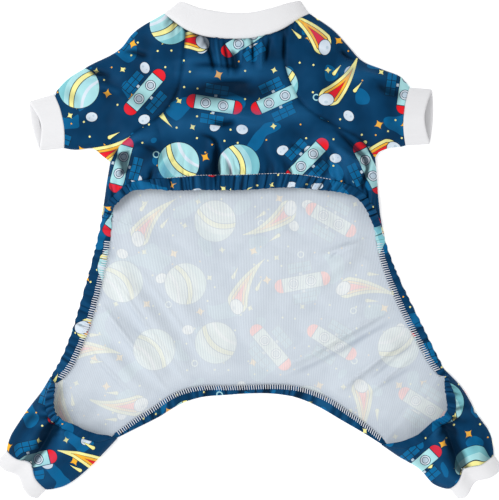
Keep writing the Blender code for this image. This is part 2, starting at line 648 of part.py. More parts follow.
def collar(plan):
    """The neck rib, whose columns are those of the pieces that it is sewn to."""
    sleeve_columns = ease_steps(SLEEVE_ACROSS)
    middle = NECK_LEFT_SHARE + (NECK_RIGHT_SHARE - NECK_LEFT_SHARE) * near_columns()
    right = 1 - (1 - NECK_RIGHT_SHARE) * sleeve_columns[::-1]
    columns = np.concatenate([NECK_LEFT_SHARE * sleeve_columns, middle[1:], right[1:]])
    seam = plan.neck.at(columns)
    top = plan.collar_top.at(columns)
    steps = np.linspace(0, 1, RING_STEPS + 1)[:, None, None]
    grid = seam[None] + steps * (top - seam)[None]
    near = upper_layer(plan, grid, near=True, wall=RIB_WALL)
    far = upper_layer(plan, grid, near=False, wall=RIB_WALL)
    ring("neck_rib", near, far, white_rib(), flip=False)


def gathered(points, up, amplitude, pitch, ends=0.06):
    """The points pushed up and down along a line in waves of about that pitch, fading at its ends."""
    steps = np.linalg.norm(np.diff(points, axis=0), axis=1)
    along = np.concatenate([[0], np.cumsum(steps)])
    share = along / along[-1]
    turns = max(2, round(along[-1] / pitch))
    waves = np.sin(2 * math.pi * (turns * share + 0.22 * np.sin(9.0 * share)))
    fade = smooth_step(share / ends) * smooth_step((1 - share) / ends)
    return points + up * (amplitude * waves * fade)[:, None]


def refined(points, times):
    """The points of a line with more between them, all on its own straight pieces."""
    index = np.linspace(0, len(points) - 1, (len(points) - 1) * times + 1)
    axes = range(points.shape[1])
    return np.stack([np.interp(index, range(len(points)), points[:, axis]) for axis in axes], axis=1)


def shortened(points, start, end):
    """The points of a line with its two ends drawn back by those lengths."""
    points = points.copy()
    for last, inner, length in ((0, 1, start), (-1, -2, end)):
        way = points[inner] - points[last]
        points[last] = points[last] + way * length / np.linalg.norm(way)
    return points


def on_ground(points, thickness):
    """Plan points as the middle of a piece of that thickness that lies on the ground."""
    return np.column_stack([points, np.full(len(points), thickness / 2)])


def set_off(seam, edge, gap):
    """The seam's points moved towards the edge by the gap, square to the seam."""
    along = np.gradient(seam, axis=0)
    along /= np.linalg.norm(along, axis=1)[:, None]
    way = edge - seam
    way = way - along * (way * along).sum(axis=1)[:, None]
    return seam + way / np.linalg.norm(way, axis=1)[:, None] * gap


def belly_hem(plan, seam_edge):
    """The elastic casing along the belly opening, with the ruffle that the elastic draws up."""
    seam = refined(seam_edge, GATHER_STEPS)
    share = np.linspace(0, 1, len(seam))
    shares = np.interp(np.linspace(0, len(seam_edge) - 1, len(seam)), range(len(seam_edge)), near_columns())
    edge = upper_layer(plan, plan.hem_edge.at(shares), near=True)
    droop = 0.14 * BODY_LOFT * np.sin(math.pi * share)
    edge[:, 2] -= droop
    edge = gathered(edge, np.array([0.0, 0.0, 1.0]), 0.08 * BODY_LOFT, GATHER_PITCH)
    inset = slice(2, -2)
    seam = set_off(seam[inset], edge[inset], SEAM_GAP / 2)
    band("belly_hem", seam, edge[inset], CASING_THICKNESS, printed_knit())


def flank_hem(plan, name, seam_points):
    """The turned, elastic hem down one flank, thicker than the cloth and wavy along its fold."""
    fold = flank_hem_lines(plan.sides[name])[1]
    seam = refined(seam_points, GATHER_STEPS)
    edge = fold.at(np.linspace(0, 1, len(seam)))
    seam = on_ground(shortened(seam[1:], 0, SEAM_GAP), TURNED_HEM_THICKNESS)
    edge = on_ground(shortened(edge[1:], 0, SEAM_GAP), TURNED_HEM_THICKNESS)
    way = edge - seam
    way /= np.linalg.norm(way, axis=1)[:, None]
    edge = gathered(edge, way, 0.05 * FLANK_HEM_WIDTH, GATHER_PITCH)
    seam = set_off(seam, edge, SEAM_GAP / 2)
    band(f"flank_hem_{name}", seam, edge, TURNED_HEM_THICKNESS, printed_knit())


def rump_hem(plan, seam_points):
    """The turned hem over the rump, between the two legs."""
    seam = shortened(refined(seam_points, 2), SEAM_GAP, SEAM_GAP)
    edge = shortened(plan.rump.at(np.linspace(0, 1, len(seam))), SEAM_GAP, SEAM_GAP)
    seam = on_ground(seam, TURNED_HEM_THICKNESS)
    edge = on_ground(edge, TURNED_HEM_THICKNESS)
    band("rump_hem", set_off(seam, edge, SEAM_GAP / 2), edge, TURNED_HEM_THICKNESS, printed_knit())


def leg_end(side, share, across):
    """The last row of a leg, drawn in to the width of its cuff, in plan."""
    outer = side["leg_outer"].at(1.0)
    inner = side["leg_inner"].at(1.0)
    way = inner - outer
    width = np.linalg.norm(way)
    out = np.array([-way[1], way[0]]) / width * side["sign"]
    middle = (outer + inner) / 2 + out * share * LEG_CUFF_LENGTH
    size = min(1.0, LEG_CUFF_WIDTH / width)
    return middle + np.outer(across - 0.5, way) * size


def leg(plan, name):
    """A hind leg: a tube whose near layer starts behind the lip and whose far layer starts at the panel."""
    side = plan.sides[name]
    steps = np.linspace(0, 1, LEG_STEPS + 1)
    outer = side["leg_outer"].at(steps)
    inner = side["leg_inner"].at(steps)
    near_across = ease_steps(LEG_ACROSS)
    far_across = ease_steps(LEG_UNDER)
    lip = lip_seam(side).at(near_across)
    lip[0] = outer[0]
    lip[-1] = inner[0]
    end_near = outer[-1] + np.outer(near_across, inner[-1] - outer[-1])
    end_far = outer[-1] + np.outer(far_across, inner[-1] - outer[-1])
    near_grid = filled(lip, end_near, outer, inner, reach=1.0)
    far_grid = filled(side["mouth"].at(far_across), end_far, outer, inner, reach=1.0)
    near = leg_layer(side, near_grid, near=True)
    far = leg_layer(side, far_grid, near=False)
    near = np.concatenate([near, leg_tuck(side, near_across, True, CLOTH_WALL, LEG_TUCK)[None]])
    far = np.concatenate([far, leg_tuck(side, far_across, False, CLOTH_WALL, LEG_TUCK)[None]])
    rows = np.concatenate([near, far[:, ::-1][:, 1:]], axis=1)
    rows = pulled_in(rows, first=SEAM_GAP)
    cloth(f"leg_{name}", rows, CLOTH_WALL, printed_knit(), flip=name == "left")
    return near[0]


def lip_seam(side):
    """The seam of the leg's elastic casing, one casing width behind the lip."""
    return side["lip"].beside(-side["sign"] * LEG_HEM_WIDTH, LEG_HEM_WIDTHS)


def leg_tuck(side, across, near, wall, share):
    """A row of the ring where the leg is gathered into its cuff, or of the cuff beyond it."""
    plan_row = leg_end(side, share, across)
    distance = LEG_CUFF_WIDTH * np.minimum(across, 1 - across)
    height = lifted(distance, np.full(len(across), LEG_CUFF_LOFT), wall, near)
    return np.column_stack([plan_row, height])


def leg_hem(plan, name, seam_edge):
    """The elastic casing along the near edge of one leg's mouth."""
    side = plan.sides[name]
    seam = refined(seam_edge, 3)
    shares = np.interp(np.linspace(0, LEG_ACROSS, len(seam)), range(LEG_ACROSS + 1), ease_steps(LEG_ACROSS))
    edge = leg_layer(side, side["lip"].at(shares), near=True)
    edge = gathered(edge, np.array([0.0, 0.0, 1.0]), 0.05 * LEG_LOFT, 0.8 * GATHER_PITCH, ends=0.2)
    inset = slice(7, -7)
    seam = set_off(seam[inset], edge[inset], SEAM_GAP / 2)
    band(f"leg_hem_{name}", seam, edge[inset], 0.85 * CASING_THICKNESS, printed_knit())


def leg_cuff(plan, name):
    """The rib cuff of a hind leg, pinched to two lobes on its near side."""
    side = plan.sides[name]
    across = ease_steps(LEG_UNDER + 4)
    pinch = np.exp(-(((across - 0.5) / 0.14) ** 2))
    near_rows = []
    far_rows = []
    for step in np.linspace(0, 1, RING_STEPS + 2):
        share = LEG_CUFF_START + step * (1 - LEG_CUFF_START)
        near = leg_tuck(side, across, True, RIB_WALL, share)
        far = leg_tuck(side, across, False, RIB_WALL, share)
        near[:, 2] -= 0.42 * LEG_CUFF_LOFT * pinch * smooth_step(step * 1.6)
        back = leg_tuck(side, across, True, RIB_WALL, share * 0.70)
        near[:, :2] += (back - near)[:, :2] * pinch[:, None]
        near_rows.append(near)
        far_rows.append(far)
    ring(f"leg_cuff_{name}", np.array(near_rows), np.array(far_rows), white_rib(), flip=name == "left")


def centre_on_footprint():
    """Moves every piece so that the origin lies under the middle of the suit, on the ground."""
    bpy.context.view_layer.update()
    graph = bpy.context.evaluated_depsgraph_get()
    found = []
    for piece in bpy.context.scene.objects:
        mesh = piece.evaluated_get(graph).to_mesh()
        points = np.empty(len(mesh.vertices) * 3, np.float32)
        mesh.vertices.foreach_get("co", points)
        found.append(points.reshape(-1, 3).astype(float))
    corners = np.concatenate(found)
    low = corners.min(axis=0)
    high = corners.max(axis=0)
    shift = (-(low[0] + high[0]) / 2, -(low[1] + high[1]) / 2, -low[2])
    for piece in bpy.context.scene.objects:
        piece.location = shift


def build():
    for old in list(bpy.data.objects):
        bpy.data.objects.remove(old)
    plan = Plan()
    hem_seams = back_panel(plan)
    hem_line = belly_panel(plan)
    belly_hem(plan, hem_line)
    collar(plan)
    rump_hem(plan, hem_seams["rump"])
    for name in ("left", "right"):
        sleeve(plan, name)
        sleeve_cuff(plan, name)
        flank_hem(plan, name, hem_seams[name])
        lip_line = leg(plan, name)
        leg_hem(plan, name, lip_line)
        leg_cuff(plan, name)
    centre_on_footprint()


build()
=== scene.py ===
"""The looks of a small dog's jumpsuit that lies on its back, belly side up.

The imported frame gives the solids. Each of them is cloth, so each is replaced here by sheets of
cloth, casings and ribs that follow the same plan of seams, folds and hems, with the folds,
gathers, turned hems and stitches that the solids leave out. Metres, +Z up, neck towards +Y.
"""

import logging
import math
from dataclasses import dataclass, field
from enum import Enum
from typing import NamedTuple

import bmesh
import bpy
import numpy as np
from bpy.types import ID, Material, Mesh, Node, NodeSocket, NodeTree, Object
from mathutils import Matrix, Vector


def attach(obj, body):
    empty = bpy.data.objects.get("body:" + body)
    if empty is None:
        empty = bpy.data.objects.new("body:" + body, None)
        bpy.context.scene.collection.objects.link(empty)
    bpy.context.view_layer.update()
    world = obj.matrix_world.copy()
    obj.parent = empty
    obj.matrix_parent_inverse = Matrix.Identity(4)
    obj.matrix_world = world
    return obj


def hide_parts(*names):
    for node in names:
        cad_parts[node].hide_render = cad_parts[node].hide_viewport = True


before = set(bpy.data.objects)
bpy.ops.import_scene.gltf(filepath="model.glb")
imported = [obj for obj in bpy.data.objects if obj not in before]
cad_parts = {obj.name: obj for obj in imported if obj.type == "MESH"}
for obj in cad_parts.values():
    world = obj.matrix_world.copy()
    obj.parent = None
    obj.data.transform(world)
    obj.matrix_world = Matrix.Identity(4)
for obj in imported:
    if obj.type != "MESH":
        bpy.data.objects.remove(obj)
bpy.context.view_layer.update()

log = logging.getLogger("jumpsuit")

MM = 0.001
BODY = "root"
MERGE_DISTANCE = 0.00001
# The depth of a crease, or height of a ridge, at which the painted shade or painted highlight in the cloth's
# colour is full
RELIEF_HEIGHT = 0.0022
TINY = 1e-9

# The middle of the shoulders, on the ground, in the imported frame
PLAN_ORIGIN = (-0.00687, 0.20102, 0.00005)

# A row or grid of numbers
Array = np.ndarray
# Rows of a place along an edge, from 0 to 1, and the value there
Table = tuple[tuple[float, float], ...]


class Slot(Enum):
    """The record's material slots."""

    PRINT = "printed_knit"
    RIB = "white_rib"


class Side(Enum):
    """The side of the suit as the photograph shows it, with the sign of its X."""

    LEFT = -1.0
    RIGHT = 1.0

    @property
    def word(self) -> str:
        """The side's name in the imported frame."""
        return self.name.lower()


class Layer(Enum):
    """The layer that faces up, and the one that lies on the ground."""

    NEAR = "near"
    FAR = "far"


class Lay(NamedTuple):
    """How an edge lies: share of its named length, angle in degrees, and its bows."""

    share: float
    angle: float
    bow: Table


class Fold(NamedTuple):
    """A fold of cloth from one place to another, with its width and height."""

    x0: float
    y0: float
    x1: float
    y1: float
    width: float
    height: float


class Stroke(NamedTuple):
    """A crease or ridge along a bent line, in the same shares as a fold."""

    places: tuple[tuple[float, float], ...]
    width: float
    height: float


class SideRow(NamedTuple):
    """The lay of every edge on one side of the suit."""

    shoulder: float
    half: float
    armpit: float
    shoulder_fold: Lay
    underarm: Lay
    cuff_top: Lay
    cuff_low: Lay
    raglan: Table
    flank: Lay
    crossing: float
    flank_hem: float
    mouth: Lay
    lip: Table
    leg_outer: Lay
    leg_inner: Lay


@dataclass(frozen=True)
class Sizes:
    """The flat suit's sizes, as the solids have them."""

    chest_width: float = 0.2227
    shoulder_width: float = 0.1228
    shoulder_to_armpit: float = 0.1230
    sleeve_top: float = 0.1110
    underarm: float = 0.0352
    cuff: float = 0.0192
    neck_drop: float = 0.0217
    collar: float = 0.0205
    raglan_bow: float = 0.0220
    flank: float = 0.1908
    belly_hem_rise: float = 0.0377
    belly_hem: float = 0.0112
    flank_hem: float = 0.0110
    rump_rise: float = 0.0408
    rump_hem: float = 0.0088
    leg_mouth: float = 0.0795
    leg_outer: float = 0.0757
    leg_inner: float = 0.0686
    leg_hem: float = 0.0066
    leg_cuff: float = 0.0140
    body_loft: float = 0.0150
    collar_loft: float = 0.0120
    cuff_loft: float = 0.0125
    leg_loft: float = 0.0200
    leg_cuff_loft: float = 0.0125
    edge_fold: float = 0.0022
    ease: float = 0.0340
    ease_power: float = 0.6
    gather_pitch: float = 0.0085
    neck_left: float = 0.17
    neck_right: float = 0.81
    armpit_share: float = 0.66
    hem_wrap: float = 0.85


SIZES = Sizes()

ROWS = {
    Side.LEFT: SideRow(
        shoulder=1.052,
        half=0.987,
        armpit=1.018,
        shoulder_fold=Lay(1.044, -36.2, ((0.30, 0.010), (0.37, -0.013), (0.69, 0.017), (0.86, 0.027))),
        underarm=Lay(1.177, 16.4, ((0.13, 0.046), (0.23, 0.085), (0.33, 0.135), (0.43, 0.160),
                                   (0.58, 0.112), (0.73, 0.045), (0.88, 0.012))),
        cuff_top=Lay(1.08, -16.4, ()),
        cuff_low=Lay(1.02, -6.2, ()),
        raglan=((0.18, -0.51), (0.39, -0.91), (0.58, -0.80), (0.74, -0.34), (0.92, 0.0)),
        flank=Lay(0.995, -74.45, ((0.08, -0.008), (0.18, -0.021), (0.30, -0.032), (0.42, -0.037),
                                  (0.66, -0.038), (0.78, -0.035), (0.90, -0.023))),
        crossing=0.20,
        flank_hem=1.12,
        mouth=Lay(0.961, -137.3, ()),
        lip=((0.10, 0.026), (0.17, 0.115), (0.24, 0.192), (0.34, 0.245), (0.43, 0.243), (0.53, 0.200),
             (0.68, 0.155), (0.80, 0.105), (0.91, 0.036)),
        leg_outer=Lay(0.931, -56.3, ((0.21, -0.010), (0.43, 0.007), (0.74, 0.010))),
        leg_inner=Lay(1.052, -39.0, ((0.21, -0.030), (0.50, -0.061), (0.77, -0.056))),
    ),
    Side.RIGHT: SideRow(
        shoulder=0.948,
        half=1.024,
        armpit=0.990,
        shoulder_fold=Lay(0.956, -36.4, ((0.25, 0.005), (0.40, -0.024), (0.56, -0.054), (0.74, -0.012),
                                         (0.91, 0.025))),
        underarm=Lay(0.802, 21.8, ((0.15, 0.100), (0.34, 0.123), (0.53, 0.112), (0.70, 0.075),
                                   (0.86, 0.015))),
        cuff_top=Lay(0.92, -4.0, ()),
        cuff_low=Lay(1.00, 2.6, ()),
        raglan=((0.20, -0.78), (0.34, -1.03), (0.44, -1.10), (0.66, -0.65), (0.86, -0.05)),
        flank=Lay(0.998, -71.75, ((0.08, -0.018), (0.18, -0.044), (0.30, -0.066), (0.42, -0.072),
                                  (0.54, -0.065), (0.66, -0.050), (0.78, -0.033), (0.90, -0.016))),
        crossing=0.30,
        flank_hem=0.90,
        mouth=Lay(1.039, -130.4, ()),
        lip=((0.12, 0.086), (0.32, 0.273), (0.49, 0.224), (0.69, 0.193), (0.85, 0.114)),
        leg_outer=Lay(1.069, -58.3, ((0.24, 0.049), (0.59, 0.041), (0.80, 0.051))),
        leg_inner=Lay(0.948, -38.4, ((0.25, 0.017), (0.64, 0.056), (0.76, 0.030))),
    ),
}

NECK_BOW = ((0.16, -0.66), (0.26, -0.87), (0.37, -0.97), (0.51, -1.0), (0.66, -0.92), (0.82, -0.60),
            (0.92, -0.25))
BELLY_HEM_BOW = ((0.033, 0.24), (0.08, 0.52), (0.14, 0.64), (0.23, 0.72), (0.33, 0.82), (0.48, 0.90),
                 (0.66, 1.0), (0.77, 0.96), (0.86, 0.87), (0.92, 0.72), (0.97, 0.36))
RUMP_BOW = ((0.075, 0.22), (0.15, 0.44), (0.24, 0.75), (0.30, 0.87), (0.41, 0.95), (0.49, 0.99),
            (0.58, 1.0), (0.68, 0.92), (0.75, 0.77), (0.85, 0.47), (0.93, 0.23))
COLLAR_HEIGHTS = ((0.0, 0.80), (0.25, 1.03), (0.5, 1.0), (0.75, 0.95), (1.0, 0.62))
COLLAR_ANGLES = ((0.0, 38.0), (0.25, 71.0), (0.5, 90.0), (0.75, 106.0), (1.0, 124.0))
BELLY_HEM_WIDTHS = ((0.0, 0.62), (0.08, 0.62), (0.16, 0.72), (0.27, 1.0), (0.66, 1.0), (0.77, 0.85),
                    (0.86, 0.66), (1.0, 0.58))
FLANK_HEM_WIDTHS = ((0.0, 0.72), (0.15, 0.88), (0.3, 1.0), (0.8, 1.0), (0.92, 0.90), (1.0, 0.68))
LEG_HEM_WIDTHS = ((0.0, 0.0), (0.15, 0.9), (0.5, 1.0), (0.85, 0.9), (1.0, 0.0))
RUMP_HEM_WIDTHS = ((0.0, 0.40), (0.07, 0.78), (0.2, 1.12), (0.5, 0.75), (0.8, 1.15), (0.93, 0.78),
                    (1.0, 0.40))

# Folds of the chest as the solids have them: shares of half the chest across and of the drop from
# the shoulders to the armpits, then width and height as shares of the body's loft.
CHEST_FOLDS = (
    Fold(-0.50, -0.42, 0.35, -0.40, 0.55, 0.15),
    Fold(-0.45, -0.55, 0.30, -0.52, 0.50, -0.16),
    Fold(-0.20, -0.78, 0.62, -0.66, 0.60, 0.18),
    Fold(-0.62, -0.80, -0.20, -0.74, 0.55, 0.14),
    Fold(-0.20, -1.18, -0.18, -0.92, 0.30, -0.26),
    Fold(-0.66, -1.24, -0.52, -1.02, 0.38, 0.22),
    Fold(0.62, -1.20, 0.86, -0.98, 0.40, 0.20),
    Fold(-0.06, -0.24, -0.02, -0.44, 0.26, -0.20),
    Fold(0.14, -0.22, 0.16, -0.40, 0.28, 0.18),
    Fold(0.72, -0.36, 1.02, -0.44, 0.45, 0.20),
    Fold(-1.05, -0.52, -0.62, -0.64, 0.60, -0.07),
    Fold(-0.98, -0.95, -0.62, -0.82, 0.40, 0.18),
)

# Smaller folds that only the cloth has, in the same shares
CHEST_CREASES = (
    Fold(-0.26, -0.17, -0.19, -0.42, 0.11, -0.16),
    Fold(-0.19, -0.17, -0.15, -0.40, 0.09, 0.12),
    Fold(-0.13, -0.17, -0.08, -0.44, 0.10, -0.15),
    Fold(0.02, -0.17, 0.00, -0.36, 0.09, 0.10),
    Fold(0.09, -0.17, 0.10, -0.36, 0.10, -0.17),
    Fold(0.16, -0.17, 0.16, -0.38, 0.09, 0.13),
    Fold(0.22, -0.17, 0.19, -0.34, 0.10, -0.14),
    Fold(0.34, -0.15, 0.33, -0.32, 0.10, -0.10),
    Fold(0.70, -0.78, 1.00, -1.04, 0.16, -0.12),
    Fold(0.74, -0.92, 0.98, -1.10, 0.13, 0.10),
    Fold(-0.98, -1.02, -0.70, -0.86, 0.14, -0.10),
    Fold(-0.52, -0.34, -0.10, -0.30, 0.22, 0.06),
    Fold(-0.70, -1.22, -0.66, -1.05, 0.12, -0.13),
    Fold(-0.56, -1.24, -0.50, -1.10, 0.12, -0.10),
    Fold(0.92, -1.22, 1.00, -1.00, 0.13, -0.12),
    Fold(0.60, -0.82, 0.96, -1.10, 0.22, 0.07),
    Fold(-1.22, -0.38, -0.98, -0.44, 0.16, -0.10),
    Fold(-1.18, -0.48, -1.00, -0.43, 0.14, 0.08),
    Fold(0.86, -0.30, 1.10, -0.36, 0.14, -0.12),
    Fold(0.92, -0.40, 1.18, -0.46, 0.16, 0.08),
    Fold(-0.86, -0.86, -0.60, -0.96, 0.16, -0.08),
    Fold(0.40, -0.92, 0.72, -0.84, 0.20, 0.06),
)

# Sharp creases and soft ridges of the chest and sleeves that bend, in the same shares
CHEST_STROKES = (
    Stroke(((-0.331, -0.828), (-0.254, -0.842), (-0.201, -0.862), (-0.174, -0.897), (-0.17, -1.007),
            (-0.174, -1.215)), 0.11, -0.2),
    Stroke(((-0.14, -0.89), (-0.132, -1.007), (-0.14, -1.187)), 0.14, 0.11),
    Stroke(((-0.232, -0.911), (-0.216, -1.042), (-0.224, -1.201)), 0.14, 0.09),
    Stroke(((-0.392, -0.358), (-0.262, -0.358), (-0.109, -0.372), (0.059, -0.365)), 0.13, -0.12),
    Stroke(((-0.361, -0.42), (-0.186, -0.427), (0.051, -0.427)), 0.26, 0.11),
    Stroke(((-0.262, -0.482), (-0.071, -0.482), (0.143, -0.468)), 0.22, -0.1),
    Stroke(((-0.254, -0.697), (-0.056, -0.71), (0.219, -0.731)), 0.26, 0.13),
    Stroke(((-0.239, -0.752), (-0.117, -0.766), (-0.01, -0.745)), 0.18, -0.16),
    Stroke(((0.356, -0.897), (0.448, -0.931), (0.539, -0.959)), 0.14, -0.09),
    Stroke(((0.692, -0.938), (0.814, -1.007), (0.875, -1.09)), 0.22, 0.1),
    Stroke(((0.959, -0.98), (0.952, -1.077), (0.929, -1.187)), 0.14, -0.16),
    Stroke(((-0.857, -0.938), (-0.88, -1.021), (-0.888, -1.146)), 0.2, -0.15),
    Stroke(((-0.697, -1.118), (-0.72, -1.173), (-0.712, -1.229)), 0.12, -0.14),
    Stroke(((-0.621, -1.104), (-0.606, -1.173), (-0.621, -1.215)), 0.12, -0.12),
    Stroke(((-0.926, -0.247), (-0.804, -0.268), (-0.667, -0.316)), 0.18, -0.1),
    Stroke(((0.753, -0.247), (0.814, -0.296), (0.898, -0.323)), 0.14, -0.13),
    Stroke(((-1.094, -0.482), (-0.987, -0.524), (-0.88, -0.565)), 0.2, 0.09),
    Stroke(((1.013, -0.482), (1.12, -0.538), (1.242, -0.565)), 0.2, -0.09),
)

# Folds of the open back panel as the solids have them: shares of half the chest, and of the flank
# down from the armpits, then width and height as shares of the body's loft.
BACK_FOLDS = (
    Fold(-1.06, -0.40, -0.30, -1.02, 0.52, 0.34),
    Fold(-1.16, -0.58, -0.42, -1.08, 0.46, 0.30),
    Fold(-1.22, -0.74, -0.62, -1.12, 0.50, 0.34),
    Fold(-0.72, -0.40, -0.10, -0.98, 0.60, 0.22),
    Fold(1.02, -0.34, 0.42, -0.62, 0.50, 0.36),
    Fold(1.20, -0.62, 0.20, -0.98, 0.48, 0.38),
    Fold(1.34, -0.74, 0.62, -1.08, 0.52, 0.36),
    Fold(0.30, -0.40, 0.02, -0.80, 0.70, 0.16),
)

BACK_CREASES = (
    Fold(-1.06, -0.46, -0.40, -1.00, 0.13, 0.13),
    Fold(-1.10, -0.62, -0.52, -1.06, 0.12, 0.12),
    Fold(-1.24, -0.80, -0.74, -1.10, 0.13, 0.12),
    Fold(-0.78, -0.48, -0.24, -0.92, 0.12, 0.06),
    Fold(0.96, -0.36, 0.56, -0.44, 0.12, 0.12),
    Fold(1.18, -0.66, 0.30, -0.94, 0.12, 0.14),
    Fold(1.30, -0.78, 0.72, -1.04, 0.13, 0.13),
    Fold(1.34, -0.86, 0.90, -1.08, 0.12, 0.10),
)


# Painted shade at the feet of the open back's folds, in the same shares; it changes only the colour
BACK_PAINTED_SHADE = (
    Stroke(((0.654, -0.486), (0.7, -0.432), (0.761, -0.397), (0.83, -0.379), (0.906, -0.383)), 0.13, -0.15),
    Stroke(((0.753, -0.437), (0.845, -0.421), (0.929, -0.432), (1.013, -0.455)), 0.1, -0.05),
    Stroke(((-0.926, -0.415), (-0.796, -0.473), (-0.613, -0.615), (-0.43, -0.749),
            (-0.209, -0.874)), 0.12, -0.075),
    Stroke(((-1.071, -0.633), (-0.911, -0.713), (-0.735, -0.798), (-0.491, -0.914),
            (-0.27, -1.012)), 0.14, -0.085),
    Stroke(((-1.14, -0.82), (-0.949, -0.905), (-0.758, -0.989), (-0.583, -1.065)), 0.12, -0.07),
    Stroke(((1.219, -0.704), (1.013, -0.767), (0.807, -0.838), (0.555, -0.914),
            (0.303, -0.98)), 0.16, -0.15),
    Stroke(((1.356, -0.811), (1.204, -0.869), (1.051, -0.949), (0.929, -1.003)), 0.13, -0.12),
    Stroke(((1.341, -0.914), (1.181, -0.972), (1.005, -1.034)), 0.12, -0.08),
    Stroke(((-1.033, -0.375), (-0.987, -0.415), (-0.972, -0.459)), 0.16, -0.07),
)


def linear(hex_colour: str) -> tuple[float, float, float, float]:
    """Turns an sRGB hex colour into the linear colour that a shader reads.

    Args:
        hex_colour: The colour as "#RRGGBB".

    Returns:
        Red, green, blue and an alpha of 1.
    """
    parts = [int(hex_colour[i:i + 2], 16) / 255 for i in (1, 3, 5)]
    return (*(c / 12.92 if c <= 0.04045 else ((c + 0.055) / 1.055) ** 2.4 for c in parts), 1.0)


def wave_scale(period_mm: float) -> float:
    """The Wave Texture's scale at which its bands are this far apart on a map in metres."""
    return 2 * math.pi / (20 * period_mm * MM)


def smooth_table(rows: Table, at: Array) -> Array:
    """Reads a table of places and values with a smooth curve through its rows.

    Args:
        rows: The (place, value) rows.
        at: The places to read.

    Returns:
        The value at each place.
    """
    place, value = np.array(rows, float).T
    slope = np.gradient(value, place)
    at = np.clip(np.asarray(at, float), place[0], place[-1])
    low = np.clip(np.searchsorted(place, at, side="right") - 1, 0, len(place) - 2)
    span = place[low + 1] - place[low]
    t = (at - place[low]) / span
    from_low = (1 + 2 * t) * (1 - t) ** 2 * value[low] + t * (1 - t) ** 2 * span * slope[low]
    from_high = t * t * (3 - 2 * t) * value[low + 1] + t * t * (t - 1) * span * slope[low + 1]
    return from_low + from_high


def smooth_step(t: Array) -> Array:
    """0 below 0, 1 above 1 and an S-curve between."""
    t = np.clip(t, 0.0, 1.0)
    return t * t * (3 - 2 * t)


def bell(distance: Array, width: float) -> Array:
    """1 at no distance, and a smooth fall to 0 past the width."""
    return np.exp(-(distance / width) ** 2)


def shares(count: int) -> Array:
    """Even shares from 0 to 1, one more than the count."""
    return np.linspace(0, 1, count + 1)


def unit(ways: Array) -> Array:
    """The same directions, at a length of 1."""
    return ways / np.maximum(np.linalg.norm(ways, axis=-1, keepdims=True), TINY)


def left_of(way: Array) -> Array:
    """The direction in plan that lies square to this one, on its left."""
    return np.array([-way[1], way[0]])


def resampled(line: Array, at: Array, places: Array | None = None) -> Array:
    """Reads a line of points at some places along it.

    Args:
        line: Its points, a row each.
        at: The places to read.
        places: The place of each point, or None where they are simply counted.

    Returns:
        A point for each place read.
    """
    if places is None:
        places = np.arange(len(line))
    return np.stack([np.interp(at, places, column) for column in line.T], axis=-1)


def spread(count: int, ease: float = 0.35) -> Array:
    """Shares from 0 to 1, a little closer together near both ends.

    Args:
        count: The number of steps.
        ease: 0 for even steps, 1 for steps that shrink to nothing at the ends.

    Returns:
        count + 1 shares.
    """
    even = shares(count)
    return (1 - ease) * even + ease * (1 - np.cos(math.pi * even)) / 2


def run_length(points: Array) -> Array:
    """The length of a line up to each of its points."""
    steps = np.linalg.norm(np.diff(points, axis=0), axis=1)
    return np.concatenate([[0.0], np.cumsum(steps)])


class Curve:
    """A line in plan, found by its share of the way along."""

    def __init__(self, points: Array) -> None:
        """Keeps the points and the share of the way along at each."""
        self.points = np.array(points, float)
        along = run_length(self.points)
        self.total = float(along[-1])
        self.along = along / along[-1]

    def at(self, share: Array | float) -> Array:
        """The point at each share of the way along."""
        return resampled(self.points, share, self.along)

    def part(self, start: float, end: float, samples: int = 128) -> "Curve":
        """The piece of this line between two shares."""
        return Curve(self.at(start + (end - start) * shares(samples)))

    def beside(self, width: float, widths: tuple, samples: int = 128) -> "Curve":
        """A line beside this one, to its right by the width times the table's shares."""
        share = shares(samples)
        forward = unit(np.gradient(self.at(share), axis=0))
        right = np.stack([forward[:, 1], -forward[:, 0]], axis=1)
        return Curve(self.at(share) + right * (width * smooth_table(widths, share))[:, None])


def bowed(start: Array, end: Array, bow: Table, scale: float, samples: int = 96) -> Curve:
    """Draws a line between two points that bows to its left.

    Args:
        start: Where it starts, in plan.
        end: Where it ends.
        bow: How far it bows at each place, as shares of the scale.
        scale: The length that the bows are shares of.
        samples: The number of straight pieces.

    Returns:
        The line.
    """
    start = np.array(start, float)
    way = np.array(end, float) - start
    off = smooth_table(((0.0, 0.0), *bow, (1.0, 0.0)), shares(samples)) * scale
    return Curve(start + np.outer(shares(samples), way) + np.outer(off, left_of(unit(way))))


def laid(start: Array, length: float, lay: Lay, sign: float) -> Curve:
    """Draws an edge that starts at a point of its own side and lies as its row says."""
    angle = math.radians(lay.angle)
    size = length * lay.share
    out = np.array([start[0] * sign, start[1]])
    line = bowed(out, out + size * np.array([math.cos(angle), math.sin(angle)]), lay.bow, size)
    return Curve(line.points * (sign, 1.0))


class Segments:
    """Straight pieces of some lines, for distances to them."""

    def __init__(self, curves: list[Curve]) -> None:
        """Keeps the ends of every straight piece."""
        self.starts = np.concatenate([curve.points[:-1] for curve in curves])
        self.ends = np.concatenate([curve.points[1:] for curve in curves])

    def distance(self, points: Array, batch: int = 4000) -> Array:
        """How far each point in plan is from the nearest piece.

        Args:
            points: Rows of X and Y.
            batch: How many points are measured at once, which keeps the memory small.

        Returns:
            One distance for each point.
        """
        way = self.ends - self.starts
        size = np.maximum((way * way).sum(-1), 1e-12)
        found = []
        for first in range(0, len(points), batch):
            apart = points[first:first + batch, None, :] - self.starts[None]
            share = np.clip((apart * way).sum(-1) / size, 0, 1)
            found.append(np.linalg.norm(apart - share[..., None] * way, axis=-1).min(axis=1))
        return np.concatenate(found)


